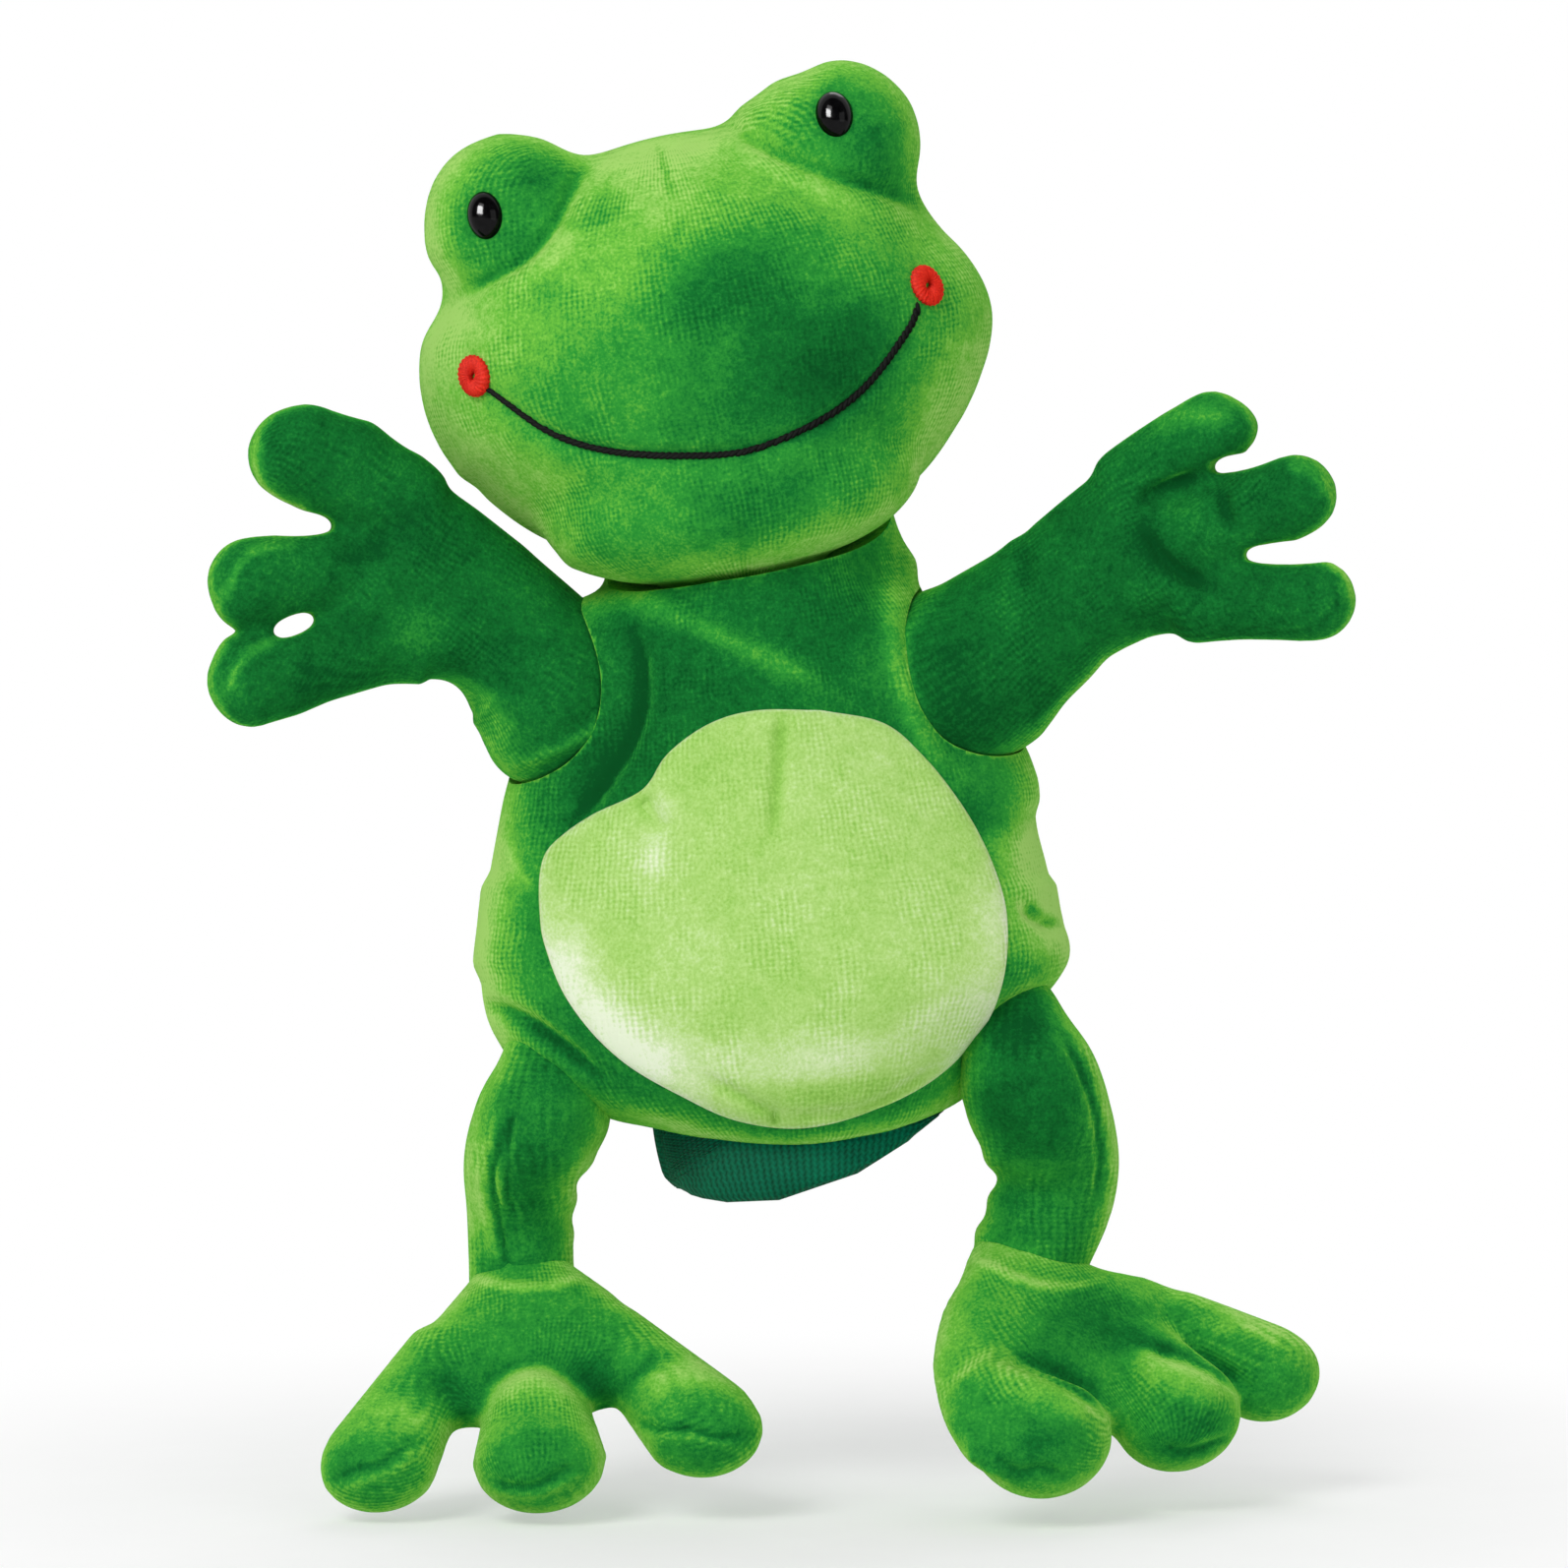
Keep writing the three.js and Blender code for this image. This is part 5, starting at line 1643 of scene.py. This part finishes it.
@dataclass
class Leg:
    """A short leg from the hem to the ankle."""

    rig: Rig
    side: Side
    stops: Sections
    strokes: tuple[Stroke, ...]
    lean: float = -0.12
    forward: float = 9.5
    hip: float = 9.6
    thigh_fades: Point2 = (-30.0, 0.0)
    roundness: float = 0.97
    thigh_fullness: float = 0.2

    def build(self) -> Plush:
        """Stuffs the leg, with the thigh in front of the corner of the hem.

        Returns:
            The leg, in the row frame.
        """
        line = curve_through(self.stops, 3)
        thigh = smooth_step(line[:, 1], *self.thigh_fades)
        rings = [
            Ring(
                (out, self.lean * -z - self.forward * share, z), size,
                size * (self.roundness + self.thigh_fullness * share),
            )
            for (out, z, size), share in zip(line, thigh)
        ]
        form = Form().limb(rings).egg(rings[0].at, (rings[0].across,) * 3)
        form.egg((0, 0, 0), (self.hip,) * 3)
        leg = Plush(f"{self.side.word}_leg_tube", form, voxel=2.0, softness=3)
        leg.puff(pressure=3.0, most=1.2)
        leg.refine()
        leg.place(self.rig.leg(self.side))
        leg.skin(voxel=1.1, softness=2)
        leg.press(self.strokes)
        return leg

    def dress(self, leg: Plush) -> None:
        """Draws the leg's seam, paints its shade, highlights and sheen, and gives it its cloth and place."""
        leg.brush(self.strokes, nap=0.36, turned=0.38)
        leg.weave(self.rig.leg(self.side), half=(13, 13))
        piece = leg.finish(GREEN_VELOUR.material())
        word = self.side.word
        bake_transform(piece)
        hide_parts(f"{word}_leg_cover", f"{word}_leg_stuffing")


@dataclass(frozen=True)
class Toe:
    """A toe, flat in the foot's plane: where it starts, its tip's middle and its thickness."""

    back: Point2
    tip: Point2
    radius: float


@dataclass
class Foot:
    """A broad flat foot with three round toes."""

    rig: Rig
    side: Side
    yaw: float
    pitch: float
    roll: float
    stations: Sections
    toes: tuple[Toe, ...]
    strokes: tuple[Stroke, ...]
    heel: float = 10.0
    toe_lift: float = 1.0
    toe_start: float = 0.62
    toe_flatness: float = 0.78
    toe_reach: float = 0.8

    def build(self) -> Plush:
        """Stuffs the foot.

        Returns:
            The foot, in the row frame.
        """
        rings = [Ring((x, y, 0), wide, tall) for y, x, wide, tall in self.stations]
        form = Form().limb(rings, flat=(0, 0, 1)).egg((0, 0, 0), (self.heel,) * 3)
        for toe in self.toes:
            back, tip = (Vector((x, y, self.toe_lift)) for x, y in (toe.back, toe.tip))
            tall = toe.radius * self.toe_flatness
            start = Ring(back, toe.radius * self.toe_start, tall * self.toe_start)
            form.limb([start, Ring(tip, toe.radius, tall)], flat=(0, 0, 1))
            form.egg(tip, (toe.radius, toe.radius * self.toe_reach, tall))
        foot = Plush(f"{self.side.word}_foot_cover", form, voxel=1.7, softness=3)
        foot.puff(pressure=3.0, most=1.2)
        foot.place(self.rig.foot(self.side, self.yaw, self.pitch, self.roll))
        foot.refine()
        foot.press(self.strokes)
        return foot

    def dress(self, foot: Plush) -> None:
        """Draws the toes' seams, paints their shade and the foot's highlights and sheen, and gives the foot its
        cloth and place.
        """
        frame = self.rig.foot(self.side, self.yaw, self.pitch, self.roll)
        foot.brush(self.strokes, nap=0.42, turned=0.36)
        foot.weave(frame @ turn("X", 90), half=(36, 12))
        piece = foot.finish(GREEN_VELOUR.material())
        word = self.side.word
        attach(piece, f"{word}_foot")
        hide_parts(f"{word}_foot_top", f"{word}_foot_sole", f"{word}_foot_stuffing")


@dataclass
class Studio:
    """A pale floor, an even white surround and soft lamps."""

    surround: float = 0.4
    mirrored: float = 0.1
    floor_half: float = 6.0
    floor_gap: float = 0.002
    target: Point3 = (0.0, 0.0, 0.09)

    def build(self) -> None:
        """Sets floor, surround and lamps."""
        self._floor()
        self._world()
        self._lamp("key", (-0.75, -1.15, 1.15), size=0.8, watts=15.0)
        self._lamp("fill", (1.1, -1.1, 0.5), size=1.0, watts=4.0)
        self._lamp("rim", (0.2, 0.9, 1.2), size=0.8, watts=5.0)
        self._lamp("catch", (-0.85, -1.1, 0.75), size=0.7, watts=120.0).visible_diffuse = False
        bpy.context.scene.view_settings.view_transform = "Standard"

    def _floor(self) -> None:
        """Lays the floor under the lowest point."""
        low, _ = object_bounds()
        bm = bmesh.new()
        bmesh.ops.create_grid(bm, x_segments=4, y_segments=4, size=self.floor_half)
        bmesh.ops.translate(bm, vec=(0, 0, low[2] - self.floor_gap), verts=bm.verts)
        floor = linked("floor", mesh_of(bm, "floor"))
        made = bpy.data.materials.new("floor")
        wires = Wiring.of(made)
        place = wires.add("ShaderNodeTexCoord").outputs["Object"]
        speck = wires.noise(place, scale=30.0, detail=3.0)
        shade = wires.blend(((0.3, (0.9, 0.9, 0.9, 1)), (0.7, (0.94, 0.94, 0.94, 1))), speck)
        paint = {"Base Color": shade, "Roughness": 0.9, "Specular IOR Level": 0.1}
        shader = wires.add("ShaderNodeBsdfPrincipled", paint)
        white = wires.add("ShaderNodeEmission", {"Color": (1, 1, 1, 1), "Strength": 1.0})
        away = wires.add("ShaderNodeVectorMath", {0: place}, operation="LENGTH").outputs["Value"]
        far = wires.add(
            "ShaderNodeMapRange", {0: away, 1: 0.08, 2: 0.3}, interpolation_type="SMOOTHSTEP"
        ).outputs[0]
        path = wires.add("ShaderNodeLightPath").outputs
        seen = wires.math("MAXIMUM", path["Is Camera Ray"], path["Is Glossy Ray"])
        seen = wires.math("MAXIMUM", seen, path["Is Transmission Ray"])
        share = wires.math("MULTIPLY", wires.math("MULTIPLY_ADD", far, 0.6, 0.4), seen)
        both = {0: share, 1: shader.outputs["BSDF"], 2: white.outputs["Emission"]}
        mixed = wires.add("ShaderNodeMixShader", both)
        wires.add("ShaderNodeOutputMaterial", {"Surface": mixed.outputs["Shader"]})
        floor.data.materials.append(made)
        floor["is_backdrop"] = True

    def _world(self) -> None:
        """Makes the surround, white to the camera and even on the object."""
        world = bpy.data.worlds.new("surround")
        bpy.context.scene.world = world
        wires = Wiring.of(world)
        path = wires.add("ShaderNodeLightPath").outputs
        toward = wires.add("ShaderNodeTexCoord").outputs["Generated"]
        depth = wires.add("ShaderNodeSeparateXYZ", {0: toward}).outputs["Y"]
        behind = wires.math("GREATER_THAN", depth, 0.0)
        reflected = wires.math("MULTIPLY", path["Is Glossy Ray"], behind)
        seen = wires.math("MAXIMUM", path["Is Camera Ray"], reflected)
        seen = wires.math("MAXIMUM", seen, path["Is Transmission Ray"])
        strength = wires.add("ShaderNodeMapRange", {0: seen, 3: self.surround, 4: 1.0}).outputs[0]
        before = wires.math("MULTIPLY", path["Is Glossy Ray"], wires.math("SUBTRACT", 1.0, behind))
        strength = wires.math("MULTIPLY_ADD", before, self.mirrored - self.surround, strength)
        back = wires.add("ShaderNodeBackground", {"Color": (1, 1, 1, 1), "Strength": strength})
        wires.add("ShaderNodeOutputWorld", {"Surface": back.outputs["Background"]})

    def _lamp(self, name: str, at: Point3, size: float, watts: float) -> bpy.types.Object:
        """Hangs a square soft lamp that points at the puppet.

        Args:
            name: The lamp's name.
            at: Its place, in metres.
            size: Its side, in metres.
            watts: Its power.

        Returns:
            The lamp.
        """
        data = bpy.data.lights.new(name, "AREA")
        data.shape = "SQUARE"
        data.size = size
        data.energy = watts
        lamp = linked(name, data)
        lamp.location = at
        aim = Vector(self.target) - Vector(at)
        lamp.rotation_euler = aim.to_track_quat("-Z", "Y").to_euler()
        return lamp


# In the stroke tables below, the nap value (the fourth number of a Stroke, the last of a tone) paints shade
# below 0 and highlights or sheen above 0.
RIGHT_ARM_STROKES = (
    Stroke(((-42, 134), (-37.5, 122.5), (-38, 112), (-46.5, 100), (-65, 91.5)), 1.6, 0.9, 0.25),
    Stroke(((-118.5, 166), (-119.5, 158.5), (-116, 152), (-106.5, 147.5)), 1.3, 0.4, 0.25),
    Stroke(((-128, 127), (-125.5, 133.5), (-121.5, 139.5), (-112, 141.5)), 1.3, 0.4, 0.25),
    Stroke(((-127, 106.5), (-125, 113), (-120, 118.5), (-114, 121)), 1.3, 0.4, 0.25),
    tone(((-79, 126), (-84.5, 121.5), (-88, 117)), 5, 0.12),
    Stroke(((-102, 136.5), (-96, 140), (-90, 143)), 2.4, -0.8, -0.08),
    Stroke(((-105, 120.5), (-97.5, 123), (-91, 126)), 2.4, -0.8, -0.08),
    tone(((-94.5, 133.5), (-85.5, 140), (-75, 140)), 12, -0.06),
    swell(((-71.5, 99),), 8, -3.0),
    swell(((-84.5, 110.5), (-78, 108.5), (-72.5, 102.5)), 6, -2.0),
    swell(((-93.5, 166.5), (-85.5, 161)), 7, 2.0),
    swell(((-104, 171), (-96.5, 167)), 7, 2.4),
    swell(((-83.5, 159), (-72.5, 151), (-55.5, 139.5)), 7, 0.5),
    swell(((-127, 122.5),), 5, 2.0),
    swell(((-121.5, 101.5), (-112, 103)), 6, 1.0),
)
LEFT_ARM_STROKES = (
    Stroke(((30.4, 131.3), (22.8, 120.4), (25, 105.2), (31.5, 94.4), (44.5, 87.9), (52, 89)), 1.6, 0.9, 0.2),
    Stroke(((74, 150.5), (79, 153.5), (88, 156.5)), 1.7, -2.0, -0.24),
    Stroke(((92, 154), (93, 149.5), (95, 145.5)), 1.6, -1.6, -0.2),
    Stroke(((75.5, 145.5), (78.5, 139.5), (83.5, 135), (90, 132.5)), 1.9, -2.2, -0.24),
    Stroke(((77, 142.5), (80.5, 138)), 6, -0.8, -0.1),
    Stroke(((84, 145.5), (88.5, 141.5)), 6, 1.4, 0.06),
    Stroke(((76, 131), (81.5, 132)), 3.4, 0.8, 0.08),
    swell(((44.5, 142.5), (55.5, 152.5), (65, 160)), 7, -1.3),
    swell(((54, 100),), 6, 2.0),
    swell(((69.5, 115.5), (76, 119.5)), 6, -2.2),
    tone(((77, 165), (83.5, 170), (95.5, 169.5)), 3, 0.25),
    Stroke(((47.5, 141), (49.5, 136.5), (49, 131.5)), 2.4, -1.0, -0.14),
    tone(((31.5, 122.5), (37, 105), (42.5, 94.5)), 9, -0.12),
    Stroke(((106.5, 159.5), (113, 156), (116, 151)), 1.3, 0.4, 0.22),
    Stroke(((113, 138), (118.5, 135), (120.5, 129)), 1.3, 0.4, 0.22),
    swell(((83.5, 121),), 9, 1.5),
    swell(((99, 167.5),), 5, 1.8),
)
RIGHT_LEG_STROKES = (
    Stroke(
        ((-65, 14), (-67, 8.5), (-68.5, 1), (-67.5, -5), (-66.5, -12.5), (-64.5, -20.5)), 0.9, -1.1, -0.22
    ),
    Stroke(((-62.5, 18.5), (-64.5, 12), (-65.5, 3.5), (-64.5, -4.5), (-64, -10)), 0.9, -0.9, -0.18),
    Stroke(((-66.5, 15), (-69, 7.5), (-70.5, 0), (-69, -8.5), (-67.5, -19.5)), 1.5, 0.6, 0.2),
    Stroke(((-64, 8.5), (-66.5, 2), (-66, -5.5)), 1.0, 0.5, 0.16),
    tone(((-71.5, 12), (-73, 1), (-71.5, -14)), 4, 0.14),
    tone(((-61, 5.5), (-59.5, -7.5)), 5, -0.12),
    Stroke(((-70.5, -19), (-62, -20.5), (-52, -19)), 2.4, -0.6, -0.14),
    tone(((-58.5, 30.5), (-53, 26)), 5, -0.12),
    Stroke(((-45, 13), (-49.5, 6.5), (-49, -3.5), (-50.5, -14)), 3.0, 1.1, 0.1, 9.0, Facing.AROUND),
)
LEFT_LEG_STROKES = (
    Stroke(((57.5, 33), (62, 24), (65, 15), (66, 4), (64.5, -5.5)), 1.0, -0.8, -0.18),
    Stroke(((60.5, 36), (67, 20.5), (69, 10), (68, -1), (64.5, -12.5)), 3.2, 0.3, 0.13),
    tone(((49, 27), (53.5, 12), (54, 3.5)), 11, -0.2),
    Stroke(((44.5, -17.5), (53, -20), (61, -20)), 2.2, -0.6, -0.14),
    tone(((37, 24), (39.5, 14), (42.5, 3.5), (40.5, -8.5)), 5, -0.22),
    tone(((40, 30.5), (46.5, 34.5), (55.5, 37)), 7, -0.26),
    Stroke(((39.5, 14), (43, 5.5), (42.5, -3.5), (38, -14)), 3.0, 1.1, 0.1, 9.0, Facing.AROUND),
)
RIGHT_FOOT_STROKES = (
    Stroke(((-73, -21.5), (-65.5, -23), (-56, -23), (-49.5, -21)), 1.1, 0.5, 0.3),
    Stroke(((-104, -66), (-98.5, -63.5), (-93.5, -62.5), (-88.5, -59), (-84, -57.5)), 0.9, -0.7, -0.16),
    Stroke(((-102, -68.5), (-96, -66), (-90.5, -64), (-85, -60)), 1.0, 0.5, 0.16),
    Stroke(((-69, -65.5), (-64, -67.5), (-58, -67), (-53, -64), (-49, -63)), 0.9, -0.7, -0.16),
    Stroke(((-67.5, -68.5), (-58.5, -69), (-50, -65.5)), 1.0, 0.5, 0.14),
    Stroke(((-37, -52.5), (-31, -55), (-25, -54.5), (-19, -56.5), (-11, -56)), 0.9, -0.7, -0.18),
    Stroke(((-33.5, -56.5), (-25, -56.5), (-14, -58.5)), 1.0, 0.5, 0.14),
    tone(((-95.5, -52.5), (-89, -51), (-82, -54)), 3.6, 0.2),
    Stroke(((-71, -47.5), (-67.5, -42.5), (-59, -39.5), (-51, -42.5), (-46.5, -46.5)), 2.4, -1.3, -0.12),
    Stroke(((-67.5, -48.5), (-59, -44.5), (-50, -48)), 3.4, 0.8, 0.24),
    Stroke(((-38, -45), (-35.5, -42), (-31, -39.5)), 2.2, -0.8, -0.12),
    Stroke(((-34.5, -47), (-28, -43), (-20, -43)), 3.4, 0.4, 0.24),
    Stroke(((-79, -45), (-75, -49)), 4, -0.6, -0.2),
    Stroke(((-46.5, -42.5), (-42.5, -48.5)), 5, -0.8, -0.28),
    tone(((-59.5, -36), (-51, -36)), 8, -0.03),
    tone(((-55.5, -58.5), (-58.5, -55.5)), 6, -0.06),
)
LEFT_FOOT_STROKES = (
    Stroke(((38, -16.5), (45.5, -20.5), (53.5, -23), (60.5, -23), (66.5, -21.5)), 1.1, 0.6, 0.3),
    tone(((34.5, -29.5), (33.5, -42.5), (38, -53)), 8, 0.05),
    Stroke(((41.5, -42.5), (52.5, -46), (64.5, -53.5)), 4.2, 1.6, 0.26),
    Stroke(((44.5, -38.5), (55.5, -42), (68, -49.5)), 2.2, -2.4, -0.26),
    Stroke(((72.5, -39.5), (84.5, -44), (93.5, -49)), 4.0, 1.5, 0.26),
    Stroke(((76, -36), (88, -39), (98, -45)), 2.2, -2.2, -0.26),
    tone(((91, -30.5), (100, -32), (107.5, -36)), 4, 0.18),
    Stroke(((63, -28), (72.5, -32.5)), 9, -0.5, -0.26),
    tone(((53, -39), (58.5, -42.5)), 6, -0.1),
    tone(((53, -56), (64, -59)), 7, -0.1),
    tone(((87, -52), (94.5, -53)), 6, -0.1),
    Stroke(((42.5, -60), (47.5, -64), (53.5, -63.5), (59.5, -65.5)), 1.1, -0.8, -0.14),
    Stroke(((79, -58), (84.5, -59.5), (89.5, -58.5), (95.5, -56)), 1.1, -0.8, -0.14),
    swell(((29.5, -20.5), (28, -25)), 7, -2.8),
    swell(((30.5, -46.5), (37, -57.5)), 9, 1.8),
)


def arms(rig: Rig) -> list[Arm]:
    """Both arms."""
    left = Arm(
        rig, Side.LEFT, 29.5,
        ((-4, 0, 20, 17), (10, 0, 19, 15), (23, 0, 18, 12.5), (42, 0.3, 19.4, 11), (55, 0.5, 19.8, 10.5)),
        (55, -2), (9, 10.5, 21),
        (
            Finger((54, 13), (79.4, 11.2), 8.8), Finger((54, -3.4), (87.1, -11.2), 9.2),
            Finger((54, -15), (77.8, -32), 9.2),
        ),
        (Gap((89, 158), (105, 161.5), 1.9), Gap((97, 139), (120.5, 140), 2.6)),
        LEFT_ARM_STROKES,
    )
    right = Arm(
        rig, Side.RIGHT, 40.5,
        (
            (-4, 0, 20, 17), (8, 3.5, 18.8, 15.5), (20, 5.2, 17.8, 13.3), (34, 2.2, 21.8, 11.5),
            (46, 1, 22.5, 10.5),
        ),
        (46, -3), (8, 10.5, 21),
        (
            Finger((46, 15), (77.7, 9.4), 10.3), Finger((46, 1.6), (70.4, -18.8), 9.6),
            Finger((40, -15), (58.4, -36.8), 9.4),
        ),
        (Gap((-103, 145.5), (-126, 147), 3.0), Gap((-107, 125.5), (-117, 121.5), 2.2)),
        RIGHT_ARM_STROKES,
    )
    return [left, right]


def legs(rig: Rig) -> list[Leg]:
    """Both legs."""
    left = (
        (-3, 9, 12), (-1, 2, 14.5), (1.8, -5, 15.6), (5, -13.7, 15.2), (8, -22.4, 13.8), (7.1, -31.1, 13),
        (3.1, -39.7, 13), (1.4, -45, 12.8), (0.6, -49, 13), (0.2, -53, 13), (0, -56, 12.8),
    )
    right = (
        (1, 10, 12), (2.5, 2, 14.4), (6, -6, 14.4), (9, -12.6, 12.8), (9.1, -21.3, 12), (9.2, -30, 11.6),
        (8.6, -38, 11.9), (8.4, -42, 12.2), (8.2, -46, 12.2), (8, -50, 12),
    )
    return [Leg(rig, Side.LEFT, left, LEFT_LEG_STROKES), Leg(rig, Side.RIGHT, right, RIGHT_LEG_STROKES)]


def feet(rig: Rig) -> list[Foot]:
    """Both feet."""
    left = Foot(
        rig, Side.LEFT, 46.0, 44.0, 10.0,
        (
            (6, -1, 7, 5), (0, -3, 12, 7.5), (-8, -6, 23, 10), (-17, -6, 32.5, 10), (-28, -4.5, 40.5, 8.5),
            (-38, -3, 43.5, 6.5), (-45.5, -2, 42, 4.8),
        ),
        (
            Toe((-33, -26), (-26.6, -46), 15.8), Toe((8, -28), (9.8, -49), 15.6),
            Toe((25, -25), (39.5, -45.5), 13),
        ),
        LEFT_FOOT_STROKES,
    )
    right = Foot(
        rig, Side.RIGHT, -4.0, 47.0, -7.0,
        (
            (6, 0, 7, 5), (0, 0, 11, 7.5), (-10, -1, 20, 9.5), (-20, -1, 29, 9), (-30, -1.5, 36, 7.5),
            (-37, -2, 37, 5),
        ),
        (
            Toe((17, -18), (32.6, -48.8), 13), Toe((-2, -26), (-2.5, -51), 14.6),
            Toe((-18, -18), (-38.5, -46.5), 13),
        ),
        RIGHT_FOOT_STROKES,
    )
    return [left, right]


def main() -> None:
    """Builds and dresses the puppet, piece after piece."""
    logging.basicConfig(level=logging.INFO, format="%(name)s: %(message)s")
    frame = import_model()
    rig = Rig(frame["joints"])
    torso = Torso(rig)
    body = torso.build()
    patch = BellyPatch(rig)
    patch_cloth = patch.build(body)
    torso.dress(body)
    patch.dress(patch_cloth)
    for piece in (Cuff(rig), Head(rig), *arms(rig), *legs(rig), *feet(rig)):
        piece.dress(piece.build())
    Studio().build()
    VIEW.camera()


if __name__ == "__main__":
    main()
